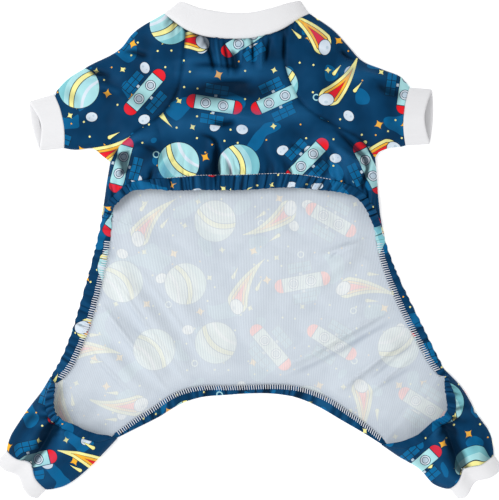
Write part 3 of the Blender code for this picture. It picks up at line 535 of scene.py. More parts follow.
class SidePlan:
    """Every seam and fold on one side of the suit, in plan."""

    def __init__(self, side: Side, sizes: Sizes) -> None:
        """Draws one side from its row of the table."""
        self.side = side
        self.sign = sign = side.value
        self.row = row = ROWS[side]
        self.shoulder = np.array([sign * sizes.shoulder_width / 2 * row.shoulder, 0.0])
        across = sign * sizes.chest_width / 2 * row.half
        self.armpit = np.array([across, -sizes.shoulder_to_armpit * row.armpit])
        self.shoulder_fold = laid(self.shoulder, sizes.sleeve_top, row.shoulder_fold, sign)
        self.underarm = laid(self.armpit, sizes.underarm, row.underarm, sign)
        self.cuff_top = laid(self.shoulder_fold.at(1.0), sizes.cuff, row.cuff_top, sign)
        self.cuff_low = laid(self.underarm.at(1.0), sizes.cuff, row.cuff_low, sign)
        self.flank = laid(self.armpit, sizes.flank, row.flank, sign)
        self.leg_out = self.flank.at(1.0)
        self.mouth = laid(self.leg_out, sizes.leg_mouth, row.mouth, sign)
        self.leg_in = self.mouth.at(1.0)
        self.leg_outer = laid(self.leg_out, sizes.leg_outer, row.leg_outer, sign)
        self.leg_inner = laid(self.leg_in, sizes.leg_inner, row.leg_inner, sign)
        self.lip = laid(self.leg_out, sizes.leg_mouth, row.mouth._replace(bow=row.lip), sign)
        self.upper_folds = [self.shoulder_fold, self.underarm, self.flank, self.cuff_top, self.cuff_low]
        self.raglan: Curve | None = None


class Plan:
    """Every seam, fold and free edge of the suit in plan."""

    def __init__(self, sizes: Sizes) -> None:
        """Draws the whole plan from the sizes and tables."""
        self.sizes = sizes
        self.sides = {side: SidePlan(side, sizes) for side in Side}
        left = self.sides[Side.LEFT]
        right = self.sides[Side.RIGHT]
        self.neck = bowed(left.shoulder, right.shoulder, NECK_BOW, sizes.neck_drop)
        self.collar_top = self.fan_out(self.neck)
        for side, share in ((left, sizes.neck_left), (right, sizes.neck_right)):
            start = self.neck.at(share) * (side.sign, 1.0)
            end = side.armpit * (side.sign, 1.0)
            seam = bowed(start, end, side.row.raglan, sizes.raglan_bow)
            side.raglan = Curve(seam.points * (side.sign, 1.0))
        crossings = [side.flank.at(side.row.crossing) for side in (left, right)]
        self.hem_seam = bowed(*crossings, BELLY_HEM_BOW, sizes.belly_hem_rise)
        self.hem_edge = self.hem_seam.beside(sizes.belly_hem, BELLY_HEM_WIDTHS)
        self.rump = bowed(left.leg_in, right.leg_in, RUMP_BOW, sizes.rump_rise)
        self.rump_inner = self.rump.beside(-sizes.rump_hem, RUMP_HEM_WIDTHS)
        ends = [Curve([self.neck.points[end], self.collar_top.points[end]]) for end in (0, -1)]
        self.upper_folds = Segments(left.upper_folds + right.upper_folds + ends)
        self.raglans = Segments([left.raglan, right.raglan])
        self.chest = TableScale(sizes.chest_width / 2, sizes.shoulder_to_armpit, 0.0, sizes.body_loft)
        self.open_back = self.chest._replace(down=sizes.flank, top=-sizes.shoulder_to_armpit)
        self.neck_seam = Segments([self.neck])
        self.belly_seam = Segments([self.hem_seam])

    def fan_out(self, seam: Curve, samples: int = 96) -> Curve:
        """The collar's top edge, from the neck seam."""
        share = shares(samples)
        height = self.sizes.collar * smooth_table(COLLAR_HEIGHTS, share)
        angle = np.radians(smooth_table(COLLAR_ANGLES, share))
        return Curve(seam.at(share) + np.stack([height * np.cos(angle), height * np.sin(angle)], axis=1))

    def hem_end(self, side: SidePlan) -> float:
        """The share of the flank at which the belly hem has turned under."""
        return side.row.crossing + self.sizes.hem_wrap * self.sizes.belly_hem / side.flank.total

    def flank_hem_lines(self, side: SidePlan) -> tuple[Curve, Curve]:
        """The inner edge and the folded outer edge of one flank hem."""
        fold = side.flank.part(self.hem_end(side), 1.0)
        width = side.sign * self.sizes.flank_hem * side.row.flank_hem
        return fold.beside(width, FLANK_HEM_WIDTHS), fold

    def lip_seam(self, side: SidePlan) -> Curve:
        """The seam of a leg's elastic casing, one casing width behind the lip."""
        return side.lip.beside(-side.sign * self.sizes.leg_hem, LEG_HEM_WIDTHS)


class Ripple:
    """Soft uneven waves over a plane, the same on every run."""

    def __init__(self, seed: int, shortest: float, longest: float, count: int = 28) -> None:
        """Draws the waves.

        Args:
            seed: Sets the draw.
            shortest: The shortest wave, in metres.
            longest: The longest.
            count: How many waves are added up.
        """
        draw = np.random.default_rng(seed)
        angle = draw.uniform(0, 2 * math.pi, count)
        length = draw.uniform(shortest, longest, count)
        self.waves = np.stack([np.cos(angle), np.sin(angle)]) * 2 * math.pi / length
        self.phase = draw.uniform(0, 2 * math.pi, count)

    def along(self, run: Array) -> Array:
        """The waves' sum along a line, from the length up to each of its points."""
        return self.at(np.stack([run, run * 0], axis=1))

    def at(self, points: Array) -> Array:
        """The waves' sum at points in plan, mostly between -1 and 1."""
        flat = points.reshape(-1, 2)
        total = np.cos(flat @ self.waves + self.phase).sum(axis=1) / math.sqrt(len(self.phase))
        return total.reshape(points.shape[:-1])


class TableScale(NamedTuple):
    """The lengths that a table of folds is in shares of, and the Y that it counts from."""

    across: float
    down: float
    top: float
    loft: float

    def real(self, places: tuple) -> Array:
        """Places of the table as points in plan."""
        return np.array(places) * (self.across, self.down) + (0.0, self.top)


def fold_heights(folds: tuple[Fold, ...], points: Array, scale: TableScale) -> Array:
    """The height that a table of folds adds.

    Args:
        folds: The table.
        points: Rows of X and Y.
        scale: What the table's numbers are shares of.

    Returns:
        One height for each point.
    """
    total = np.zeros(len(points))
    for fold in folds:
        start, end = scale.real(((fold.x0, fold.y0), (fold.x1, fold.y1)))
        way = end - start
        share = ((points - start) @ way) / (way @ way)
        near = start + np.clip(share, 0, 1)[:, None] * way
        off = np.linalg.norm(points - near, axis=1)
        taper = np.sin(math.pi * np.clip(share, 0, 1)) ** 0.7
        total += fold.height * scale.loft * bell(off, fold.width * scale.loft) * taper
    return total


def stroke_heights(strokes: tuple[Stroke, ...], points: Array, scale: TableScale) -> Array:
    """The height that a table of bent creases and ridges adds.

    Args:
        strokes: The table.
        points: Rows of X and Y.
        scale: What the table's numbers are shares of.

    Returns:
        One height for each point.
    """
    total = np.zeros(len(points))
    for stroke in strokes:
        line = Curve(scale.real(stroke.places)).at(shares(32))
        for _ in range(8):
            line[1:-1] = (line[:-2] + 2 * line[1:-1] + line[2:]) / 4
        curve = Curve(line)
        off = Segments([curve]).distance(points)
        end = np.minimum(*(np.linalg.norm(points - line[tip], axis=1) for tip in (0, -1)))
        taper = smooth_step(end / (0.3 * curve.total))
        total += stroke.height * scale.loft * bell(off, stroke.width * scale.loft) * taper
    return total


def lifted(distance: Array, loft: Array, wall: float, layer: Layer) -> Array:
    """The height of a layer's middle, from how far in from the edge fold it lies."""
    fold = SIZES.edge_fold
    if layer is Layer.NEAR:
        rise = (1 - (1 - np.clip(distance / SIZES.ease, 0, 1)) ** 2) ** SIZES.ease_power
        return wall / 2 + fold + (loft - fold) * rise
    inside = np.clip(distance / fold, 0, 1)
    return wall / 2 + fold * (1 - np.sqrt(1 - (1 - inside) ** 2))


def upper_loft(points: Array) -> Array:
    """How far the near layer of the body, sleeves, cuffs and collar stands off at most."""
    start = 0.8 * SIZES.chest_width / 2
    end = SIZES.shoulder_width / 2 + 0.8 * SIZES.sleeve_top
    to_cuff = smooth_step((np.abs(points[:, 0]) - start) / (end - start))
    to_neck = smooth_step(1.0 + points[:, 1] / (3.0 * SIZES.neck_drop)) * (1 - to_cuff)
    loft = SIZES.body_loft
    return loft + (SIZES.cuff_loft - loft) * to_cuff + (SIZES.collar_loft - loft) * to_neck


def with_relief(flat: Array, height: Array, folds: Array, shape: tuple[int, ...]) -> Array:
    """Joins plan, height and folds to a grid of X, Y, Z and how far the cloth stands out or sinks in.

    Args:
        flat: Rows of X and Y.
        height: The plain surface's height at each.
        folds: What the folds add to it.
        shape: Of the grid.

    Returns:
        The grid, with four values for each point.
    """
    # The relief changes only the colour: the finishes paint shade into the creases and a highlight onto the
    # ridges
    relief = np.clip(folds / RELIEF_HEIGHT, -1.5, 1.5)
    return np.column_stack([flat, height + folds, relief]).reshape(*shape, 4)


@dataclass
class ClothSurface:
    """Where the cloth lies over every point of the plan, with its small folds."""

    plan: Plan
    broad: Ripple = field(default_factory=lambda: Ripple(11, 0.022, 0.060))
    fine: Ripple = field(default_factory=lambda: Ripple(12, 0.007, 0.016))
    seam_depth: float = 0.0013
    seam_width: float = 0.0018

    def upper(self, points: Array, layer: Layer, wall: float, detail: bool = True) -> Array:
        """Lifts points of the body, sleeves, cuffs or collar to their layer.

        Args:
            points: A grid of X and Y.
            layer: Which layer.
            wall: The thickness of the cloth.
            detail: False for a plain surface with no small folds.

        Returns:
            The grid with its heights.
        """
        flat = points.reshape(-1, 2)
        sizes = self.plan.sizes
        distance = self.plan.upper_folds.distance(flat)
        height = lifted(distance, upper_loft(flat), wall, layer)
        folds = np.zeros(len(flat))
        if layer is Layer.NEAR:
            chest = self.plan.chest
            inside = smooth_step(distance / (0.6 * sizes.ease))
            folds += 1.45 * fold_heights(CHEST_FOLDS, flat, chest) * inside
            if detail:
                fine = smooth_step(distance / (0.25 * sizes.ease))
                folds += 1.6 * fold_heights(CHEST_CREASES, flat, chest) * fine
                folds += 1.5 * stroke_heights(CHEST_STROKES, flat, chest) * fine
                folds += (0.00075 * self.broad.at(flat) + 0.00014 * self.fine.at(flat)) * fine
                folds -= self.seam_groove(flat) * fine
        return with_relief(flat, height, folds, points.shape[:-1])

    def seam_groove(self, flat: Array) -> Array:
        """How deep the raglan and neck seams draw the cloth in, with small puckers along them."""
        puckers = 0.6 + 0.4 * np.sin(flat[:, 1] * 2 * math.pi / 0.0052 + 3.0 * self.broad.at(flat))
        raglan = self.plan.raglans.distance(flat)
        depth = self.seam_depth * bell(raglan, self.seam_width)
        depth += 0.00035 * bell(raglan, 0.0055) * puckers
        neck = self.plan.neck_seam.distance(flat)
        gathers = np.sin(flat[:, 0] * 2 * math.pi / 0.0061 + 2.4 * self.broad.at(flat))
        depth += self.seam_depth * bell(neck, self.seam_width)
        depth += 0.00045 * gathers * bell(neck, 0.0090) * (flat[:, 1] < -0.25 * SIZES.neck_drop)
        return depth


def filled(first: Array, last: Array, start_side: Array, end_side: Array, reach: float = 2.5) -> Array:
    """Fills a grid of plan points between four edges.

    Args:
        first: The first row.
        last: The last row.
        start_side: The first point of every row.
        end_side: The last point of every row.
        reach: How fast the bows of the first and last rows fade over the rows between.

    Returns:
        The grid, rows from first to last.
    """
    rows = np.linspace(0, 1, len(start_side))[:, None, None]
    along = run_length(last)
    columns = (along / along[-1])[None, :, None]
    first_bow = first[None] - (1 - columns) * first[0] - columns * first[-1]
    last_bow = last[None] - (1 - columns) * last[0] - columns * last[-1]
    between_sides = (1 - columns) * start_side[:, None] + columns * end_side[:, None]
    return between_sides + (1 - rows) ** reach * first_bow + rows ** reach * last_bow


def grid_normals(rows: Array) -> Array:
    """The direction square to a grid of points at each of them, up or down as the grid runs."""
    across = np.gradient(rows, axis=1)
    along = np.gradient(rows, axis=0)
    normal = np.cross(across, along)
    return normal / np.maximum(np.linalg.norm(normal, axis=-1), TINY)[..., None]


def plug(node: Node, inputs: dict) -> None:
    """Sets each of a node's inputs to its value, or links it to its wire."""
    for key, value in inputs.items():
        if isinstance(value, Wire):
            value.tree.links.new(value.socket, node.inputs[key])
        else:
            node.inputs[key].default_value = value


def add_node(tree: NodeTree, kind: str, inputs: dict | None = None, output: int | str = 0,
             **settings: object) -> "Wire":
    """Adds one node with its settings and links.

    Args:
        tree: The tree that it goes into.
        kind: The node's type.
        inputs: What each input, by number or name, is set to or linked from.
        output: Which output is handed back.
        **settings: The node's own properties.

    Returns:
        That output.
    """
    node = tree.nodes.new(kind)
    for name, value in settings.items():
        setattr(node, name, value)
    plug(node, inputs or {})
    return Wire(tree, node.outputs[output] if len(node.outputs) else None, node)


@dataclass(frozen=True)
class Wire:
    """One output in a node tree, which can be reckoned with."""

    tree: NodeTree
    socket: NodeSocket | None
    node: Node

    def then(self, operation: str, *others: "Wire | float") -> "Wire":
        """This value taken through a step of arithmetic."""
        return add_node(self.tree, "ShaderNodeMath", dict(enumerate((self, *others))), operation=operation)

    def other(self, output: int | str) -> "Wire":
        """Another output of the same node."""
        return Wire(self.tree, self.node.outputs[output], self.node)

    def __add__(self, value: "Wire | float") -> "Wire":
        """The sum."""
        return self.then("ADD", value)

    def __sub__(self, value: "Wire | float") -> "Wire":
        """The difference."""
        return self.then("SUBTRACT", value)

    def __mul__(self, value: "Wire | float") -> "Wire":
        """The product."""
        return self.then("MULTIPLY", value)

    def __truediv__(self, value: "Wire | float") -> "Wire":
        """The quotient."""
        return self.then("DIVIDE", value)

    def __abs__(self) -> "Wire":
        """The size without its sign."""
        return self.then("ABSOLUTE")

    def __lt__(self, value: "Wire | float") -> "Wire":
        """1 where this is less, and 0 elsewhere."""
        return self.then("LESS_THAN", value)

    def __gt__(self, value: "Wire | float") -> "Wire":
        """1 where this is more, and 0 elsewhere."""
        return self.then("GREATER_THAN", value)

    def flipped(self) -> "Wire":
        """1 minus this."""
        return (self * -1.0) + 1.0

    def painted(self, mask: "Wire", ink: str) -> "Wire":
        """This colour with an ink laid over it where the mask is 1."""
        return add_node(self.tree, "ShaderNodeMix", {0: mask, 6: self, 7: linear(ink)}, output=2,
                        data_type="RGBA")

    def between(self, low: str, high: str) -> "Wire":
        """The colour from one ink to another, as this goes from 0 to 1."""
        return add_node(self.tree, "ShaderNodeMix", {0: self, 6: linear(low), 7: linear(high)}, output=2,
                        data_type="RGBA")

    def clamped(self, low: float, high: float) -> "Wire":
        """This, kept between two values."""
        return self.then("MAXIMUM", low).then("MINIMUM", high)


@dataclass(frozen=True)
class Inks:
    """The inks of the print, as they look on one face of the cloth."""

    ground: str = "#07375B"
    outline: str = "#14293B"
    teal: str = "#0A6395"
    aqua: str = "#A9DBDF"
    deep_aqua: str = "#7FC3CC"
    mist: str = "#D3DFEA"
    stone: str = "#B9CBD8"
    cream: str = "#F4EE9A"
    orange: str = "#F5B335"
    red: str = "#E31E26"


class Lattice:
    """Staggered cells over the cloth, each with its own turned place and its own luck."""

    def __init__(self, x: Wire, y: Wire, pitch: float, jitter: float, seed: float) -> None:
        """Finds the cell at each place.

        Args:
            x: The place across, in millimetres.
            y: The place along.
            pitch: The distance between cells, in millimetres.
            jitter: How far a motif may stand off its cell's middle.
            seed: Sets the luck.
        """
        tree = x.tree
        row = (y / pitch).then("FLOOR")
        column = (x / pitch + row * 0.5).then("FLOOR")
        cell = add_node(tree, "ShaderNodeCombineXYZ", {0: column, 1: row, 2: seed})
        self.luck = add_node(tree, "ShaderNodeTexWhiteNoise", {"Vector": cell}, noise_dimensions="3D")
        draws = add_node(tree, "ShaderNodeSeparateColor", {0: self.luck.other("Color")})
        middle_x = (column + 0.5 - row * 0.5) * pitch + (draws - 0.5) * jitter
        middle_y = (row + 0.5) * pitch + (draws.other(1) - 0.5) * jitter
        angle = draws.other(2) * (2 * math.pi)
        off_x = x - middle_x
        off_y = y - middle_y
        turn_cos = angle.then("COSINE")
        turn_sin = angle.then("SINE")
        self.u = off_x * turn_cos + off_y * turn_sin
        self.v = off_y * turn_cos - off_x * turn_sin
        self.reach = (self.u * self.u + self.v * self.v).then("SQRT")

    def chance(self, low: float, high: float) -> Wire:
        """1 in the cells whose luck falls between the two."""
        return (self.luck > low) * (self.luck < high)


def disc(u: Wire, v: Wire, radius: float) -> Wire:
    """1 inside a disc."""
    return (u * u + v * v) < radius * radius


def block(u: Wire, v: Wire, half_u: float, half_v: float) -> Wire:
    """1 inside a rectangle about the middle."""
    return (abs(u) < half_u) * (abs(v) < half_v)


def drop(u: Wire, v: Wire, radius: float, tail: float) -> Wire:
    """1 inside a drop whose round end looks along u and whose tail tapers to a point behind.

    Args:
        u: The place along the drop, from the middle of its round end.
        v: The place across it.
        radius: Of the round end, in millimetres.
        tail: The tail's length.

    Returns:
        The mask.
    """
    behind = (u * (-1.0 / tail)).clamped(0.0, 1.0)
    ahead = u.then("MAXIMUM", 0.0)
    taper = behind.flipped().then("POWER", 1.15) * radius
    head = (ahead * ahead * -1.0 + radius * radius).then("MAXIMUM", 0.0).then("SQRT")
    return abs(v) < taper.then("MINIMUM", head)


def sparkle(u: Wire, v: Wire, radius: float) -> Wire:
    """1 inside a four-pointed sparkle."""
    return (abs(u).then("POWER", 0.62) + abs(v).then("POWER", 0.62)) < radius ** 0.62


def stamped(colour: Wire, shown: Wire, marks: tuple) -> Wire:
    """A colour with marks laid over it in turn, each a mask and its ink, where they are shown."""
    for mask, ink in marks:
        colour = colour.painted(mask * shown, ink)
    return colour


# The same inks through the cloth, on its unprinted back
SHOWN_THROUGH = Inks(ground="#C9D2DB", outline="#CAD1D6", teal="#CDD9DF", aqua="#DEE5E4",
                     deep_aqua="#D9E2E2", mist="#E4E8E8", stone="#DBE1E3", cream="#E3E6DA",
                     orange="#E8DFD0", red="#EED0CE")


class NightSkyPrint:
    """A print of striped balls, comets, probes, pebbles and sparkles on deep blue, in millimetres."""

    LARGE_PITCH = 52.0
    MEDIUM_PITCH = 22.5
    SMALL_PITCH = 11.5
    LARGE_SCALE = 1.38

    def __init__(self, name: str, inks: Inks) -> None:
        """Keeps the name of the node group to make, and the inks."""
        self.name = name
        self.inks = inks

    def group(self) -> NodeTree:
        """Builds the print as a node group, from a place on the cloth in metres to a colour."""
        tree = bpy.data.node_groups.new(self.name, "ShaderNodeTree")
        tree.interface.new_socket("Place", in_out="INPUT", socket_type="NodeSocketVector")
        tree.interface.new_socket("Colour", in_out="OUTPUT", socket_type="NodeSocketColor")
        entry = add_node(tree, "NodeGroupInput")
        in_mm = add_node(tree, "ShaderNodeVectorMath", {0: entry, 1: (1000.0, 1000.0, 1000.0)},
                         operation="MULTIPLY")
        parts = add_node(tree, "ShaderNodeSeparateXYZ", {0: in_mm})
        x = parts
        y = parts.other(1)
        colour = self.clouds(tree, in_mm)
        colour = self.dust(colour, Lattice(x, y, self.SMALL_PITCH, 6.0, 3.0))
        colour = self.small_motifs(colour, Lattice(x, y, self.MEDIUM_PITCH, 9.0, 5.0))
        scale = self.LARGE_SCALE
        large = Lattice(x / scale, y / scale, self.LARGE_PITCH / scale, 5.0, 17.0)
        colour = self.large_motifs(colour, large)
        add_node(tree, "NodeGroupOutput", {0: colour})
        return tree

    def clouds(self, tree: NodeTree, place: Wire) -> Wire:
        """Rounded patches of a lighter blue on the ground ink."""
        noise = add_node(tree, "ShaderNodeTexNoise", {"Vector": place, "Scale": 0.045, "Detail": 0.5})
        return ((noise > 0.63) * 0.85).between(self.inks.ground, self.inks.teal)

    def dust(self, colour: Wire, cells: Lattice) -> Wire:
        """Small round dots."""
        colour = colour.painted(disc(cells.u, cells.v, 0.85) * cells.chance(0.0, 0.22), self.inks.cream)
        return colour.painted(disc(cells.u, cells.v, 0.7) * cells.chance(0.22, 0.32), self.inks.orange)

    def small_motifs(self, colour: Wire, cells: Lattice) -> Wire:
        """Pebbles, sparkles and small rings."""
        inks = self.inks
        u = cells.u
        v = cells.v
        colour = stamped(colour, cells.chance(0.08, 0.20), (
            (disc(u * 0.80, v, 4.25), inks.outline), (disc(u * 0.80, v, 3.85), inks.mist),
            (disc(u - 1.6, v - 1.0, 0.95), inks.stone), (disc(u + 1.9, v + 0.9, 0.65), inks.stone)))
        colour = stamped(colour, cells.chance(0.20, 0.46), (
            (sparkle(u, v, 5.1), inks.outline), (sparkle(u, v, 4.3), inks.orange)))
        colour = stamped(colour, cells.chance(0.46, 0.72), (
            (sparkle(u, v, 3.7), inks.outline), (sparkle(u, v, 3.1), inks.cream)))
        return stamped(colour, cells.chance(0.72, 0.82), ((abs(cells.reach - 2.4) < 0.5, inks.aqua),))

    def large_motifs(self, colour: Wire, cells: Lattice) -> Wire:
        """Striped balls, comets and probes."""
        colour = self.striped_ball(colour, cells, cells.chance(0.0, 0.33))
        colour = self.comet(colour, cells, cells.chance(0.33, 0.68))
        return self.probe(colour, cells, cells.chance(0.68, 1.0))

    def striped_ball(self, colour: Wire, cells: Lattice, shown: Wire) -> Wire:
        """A pale ball with bands that curve round it."""
        inks = self.inks
        bend = cells.v + cells.u * cells.u * 0.030
        inside = cells.reach < 12.6
        colour = stamped(colour, shown, ((cells.reach < 13.0, inks.outline), (inside, inks.aqua)))
        return stamped(colour, inside * shown, (
            (bend > 7.6, inks.deep_aqua), (abs(bend + 5.4) < 1.0, inks.mist),
            (abs(bend - 2.2) < 2.0, inks.outline), (abs(bend - 2.2) < 1.5, inks.cream)))

    def comet(self, colour: Wire, cells: Lattice, shown: Wire) -> Wire:
        """A pebble with nested tails of cream, orange and red."""
        inks = self.inks
        u = cells.u - 10.0
        v = cells.v + cells.u * cells.u * 0.010
        tails = ((6.9, 32.5, inks.outline), (6.4, 31.5, inks.cream), (4.6, 22.5, inks.outline),
                 (4.2, 21.6, inks.orange), (2.9, 13.5, inks.outline), (2.5, 12.8, inks.red))
        back = cells.u + 2.0
        side = abs(cells.v) - 8.2
        return stamped(colour, shown, (
            *((drop(u, v, radius, tail), ink) for radius, tail, ink in tails),
            (disc(u - 3.4, v, 4.5), inks.outline), (disc(u - 3.4, v, 4.1), inks.mist),
            (disc(u - 4.6, v - 1.2, 1.0), inks.stone),
            (drop(back, side, 1.5, 8.0), inks.outline), (drop(back, side, 1.1, 7.2), inks.cream)))

    def probe(self, colour: Wire, cells: Lattice, shown: Wire) -> Wire:
        """A pale canister with two round windows, blue panels and red end caps."""
        inks = self.inks
        u = cells.u
        v = cells.v
        flank = abs(v) - 9.4
        panel = block(u, flank, 7.0, 2.9)
        lines = (abs(abs(u) - 2.3) < 0.22).then("MAXIMUM", abs(flank) < 0.22)
        over = (abs(u) - 13.0).then("MAXIMUM", 0.0)
        shell = disc(over, v, 4.2)
        rings = ((3.3, inks.outline), (2.9, inks.mist), (2.1, inks.outline), (1.75, inks.stone))
        return stamped(colour, shown, (
            (block(u, v, 0.9, 7.0), inks.stone), (block(u, flank, 7.4, 3.3), inks.outline),
            (panel, inks.teal), (panel * lines, inks.outline),
            (disc(over, v, 4.6), inks.outline), (shell, inks.aqua),
            (shell * (abs(u) > 12.0), inks.outline), (shell * (abs(u) > 12.5), inks.red),
            *((disc(abs(u) - 5.4, v, radius), ink) for radius, ink in rings)))


def blank(name: str) -> tuple[Material, NodeTree]:
    """Makes an empty material, and hands back its tree too."""
    material = bpy.data.materials.new(name)
    material.use_nodes = True
    return material, material.node_tree


def finished(material: Material, inputs: dict) -> Material:
    """Sets or links the inputs of a material's Principled shader."""
    plug(material.node_tree.nodes["Principled BSDF"], inputs)
    return material


@dataclass(frozen=True)
class PrintedKnit:
    """The printed face of a brushed polyester interlock: smooth, with painted sheen and shade at its folds.
    """

    sky: NodeTree
    name: str = "printed_polyester_interlock"
    roughness: float = 0.50
    sheen: float = 0.015
    # Painted highlight on the ridges of the folds and painted shade in their creases, both read from the
    # relief
    ridge_sheen: float = 0.24
    crease_shade: float = 0.85
    # A real wale is 0.7 mm wide, too fine for the render, so it is drawn at 1.1 mm and kept faint
    wale_mm: float = 1.1

    def made(self) -> Material:
        """Builds the material on the cloth's own UV map, which is in metres."""
        material, tree = blank(self.name)
        place = add_node(tree, "ShaderNodeUVMap", uv_map="cloth")
        ink = add_node(tree, "ShaderNodeGroup", {0: place}, node_tree=self.sky)
        patches = add_node(tree, "ShaderNodeTexNoise", {"Vector": place, "Scale": 46.0, "Detail": 2.0})
        relief = add_node(tree, "ShaderNodeAttribute", output="Fac", attribute_name="relief")
        # Painted shade in the creases; painted sheen on the ridges, with random blotches of painted sheen
        valley = (relief * -self.crease_shade).clamped(0.0, 0.85)
        painted_sheen = (relief * self.ridge_sheen).then("MAXIMUM", 0.0) + (patches - 0.5) * 0.25
        wales = add_node(tree, "ShaderNodeTexWave", {
            "Vector": place, "Scale": wave_scale(self.wale_mm), "Distortion": 0.6,
            "Detail": 1.0}, output=1, wave_type="BANDS", bands_direction="X")
        pile = add_node(tree, "ShaderNodeTexNoise", {"Vector": place, "Scale": 900.0, "Detail": 2.0})
        return finished(material, {
            "Base Color": ink.painted(valley, "#04192C").painted(painted_sheen.clamped(0.0, 0.45), "#23699C"),
            "Roughness": patches.then("MULTIPLY_ADD", 0.20, self.roughness - 0.10),
            "Sheen Weight": self.sheen, "Sheen Roughness": 0.35, "Sheen Tint": linear("#9FC3E6"),
            "Specular IOR Level": 0.035,
            "Normal": add_node(tree, "ShaderNodeBump", {
                "Strength": 0.22, "Distance": 0.00015, "Height": wales * 0.5 + pile})})


@dataclass(frozen=True)
class KnitReverse:
    """The unprinted back of the cloth: pale, with its wales as stripes and the print showing through."""

    sky: NodeTree
    name: str = "unprinted_back_of_the_interlock"
    roughness: float = 0.85
    # The stripes of the back are 2.3 mm apart: pairs of wales between drawn needles
    stripe_mm: float = 2.3
    stripe_strength: float = 0.34
    # The elastic draws the wales together towards the rump: places on the cloth map, in metres
    fan: float = 2.0
    even_at: float = 0.40
    upright_at: float = 0.445

    def made(self) -> Material:
        """Builds the material on the cloth's own UV map."""
        material, tree = blank(self.name)
        place = add_node(tree, "ShaderNodeUVMap", uv_map="cloth")
        ink = add_node(tree, "ShaderNodeGroup", {0: place}, node_tree=self.sky)
        parts = add_node(tree, "ShaderNodeSeparateXYZ", {0: place})
        along = parts.other(1)
        spacing = ((along - self.even_at) * self.fan + 1.0).clamped(0.75, 1.3)
        fanned = add_node(tree, "ShaderNodeCombineXYZ", {0: (parts - self.upright_at) / spacing, 1: along})
        wales = add_node(tree, "ShaderNodeTexWave", {
            "Vector": fanned, "Scale": wave_scale(self.stripe_mm), "Distortion": 1.3,
            "Detail": 1.0, "Detail Scale": 0.5}, output=1, wave_type="BANDS", bands_direction="X")
        patches = add_node(tree, "ShaderNodeTexNoise", {"Vector": place, "Scale": 34.0, "Detail": 2.0})
        relief = add_node(tree, "ShaderNodeAttribute", output="Fac", attribute_name="relief")
        colour = ink.painted(wales * patches * (2.0 * self.stripe_strength), "#B5BDC9")
        fuzz = add_node(tree, "ShaderNodeTexNoise", {"Vector": place, "Scale": 700.0, "Detail": 2.0})
        # The relief paints shade into the colour where the cloth sinks in, at creases and the feet of folds
        return finished(material, {
            "Base Color": colour.painted((relief * -0.40).clamped(0.0, 0.6), "#8D98A8"),
            "Roughness": self.roughness, "Specular IOR Level": 0.25, "Sheen Weight": 0.10,
            "Normal": add_node(tree, "ShaderNodeBump", {
                "Strength": 0.35, "Distance": 0.0002, "Height": wales + fuzz * 0.5})})


@dataclass(frozen=True)
class WhiteRib:
    """Bleached 1x1 cotton rib: white, matt and slightly furry, with close shallow ribs."""

    name: str = "bleached_cotton_rib"
    colour: str = "#E3E3E5"
    roughness: float = 0.9
    rib_mm: float = 1.7

    def made(self) -> Material:
        """Builds the material on the rib's own UV map, whose U runs across the ribs."""
        material, tree = blank(self.name)
        place = add_node(tree, "ShaderNodeUVMap", uv_map="cloth")
        stain = add_node(tree, "ShaderNodeTexNoise", {"Vector": place, "Scale": 60.0, "Detail": 3.0})
        courses = add_node(tree, "ShaderNodeTexWave", {
            "Vector": place, "Scale": wave_scale(self.rib_mm), "Distortion": 0.5},
            output=1, wave_type="BANDS", bands_direction="X")
        fuzz = add_node(tree, "ShaderNodeTexNoise", {"Vector": place, "Scale": 1200.0, "Detail": 2.0})
        return finished(material, {
            "Base Color": (stain * 0.22).between(self.colour, "#D0D1D5"),
            "Roughness": self.roughness, "Specular IOR Level": 0.2, "Sheen Weight": 0.15,
            "Normal": add_node(tree, "ShaderNodeBump", {
                "Strength": 0.3, "Distance": 0.0002, "Height": courses * 0.6 + fuzz})})


@dataclass(frozen=True)
class SewingThread:
    """Spun polyester sewing thread: two plies twisted together, with a dull shine."""

    name: str
    colour: str
    roughness: float = 0.6

    def made(self) -> Material:
        """Builds the material on Object coordinates, with the twist as a fine wave."""
        material, tree = blank(self.name)
        place = add_node(tree, "ShaderNodeTexCoord", output="Object")
        twist = add_node(tree, "ShaderNodeTexNoise", {"Vector": place, "Scale": 1500.0, "Detail": 1.0})
        return finished(material, {"Base Color": (twist * 0.15).between(self.colour, "#A8B0BE"),
                                   "Roughness": self.roughness})


@dataclass(frozen=True)
class Paper:
    """Matt white background paper, with no texture that the eye can find at this size."""

    name: str = "matt_white_background_paper"
    colour: str = "#FCFCFC"

    def made(self) -> Material:
        """Builds the material with the faintest unevenness."""
        material, tree = blank(self.name)
        place = add_node(tree, "ShaderNodeTexCoord", output="Object")
        cloud = add_node(tree, "ShaderNodeTexNoise", {"Vector": place, "Scale": 2.0, "Detail": 1.0})
        return finished(material, {
            "Base Color": (cloud * 0.03).between(self.colour, "#F4F4F6"), "Roughness": 1.0,
            "Specular IOR Level": 0.0, "Emission Color": (1.0, 1.0, 1.0, 1.0), "Emission Strength": 0.32})


@dataclass
class Wardrobe:
    """The finishes, made once and shared by every piece."""

    printed: Material
    reverse: Material
    rib: Material
    white_thread: Material

    @classmethod
    def made(cls) -> "Wardrobe":
        """Builds every finish."""
        printed = NightSkyPrint("night_sky_print", Inks()).group()
        shown_through = NightSkyPrint("night_sky_through_the_cloth", SHOWN_THROUGH).group()
        return cls(
            printed=PrintedKnit(printed).made(),
            reverse=KnitReverse(shown_through).made(),
            rib=WhiteRib().made(),
            white_thread=SewingThread("white_spun_thread", "#E9ECF2").made(),
        )


def to_frame(rows: Array) -> Array:
    """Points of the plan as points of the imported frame."""
    return rows[..., :3] + np.array(PLAN_ORIGIN)


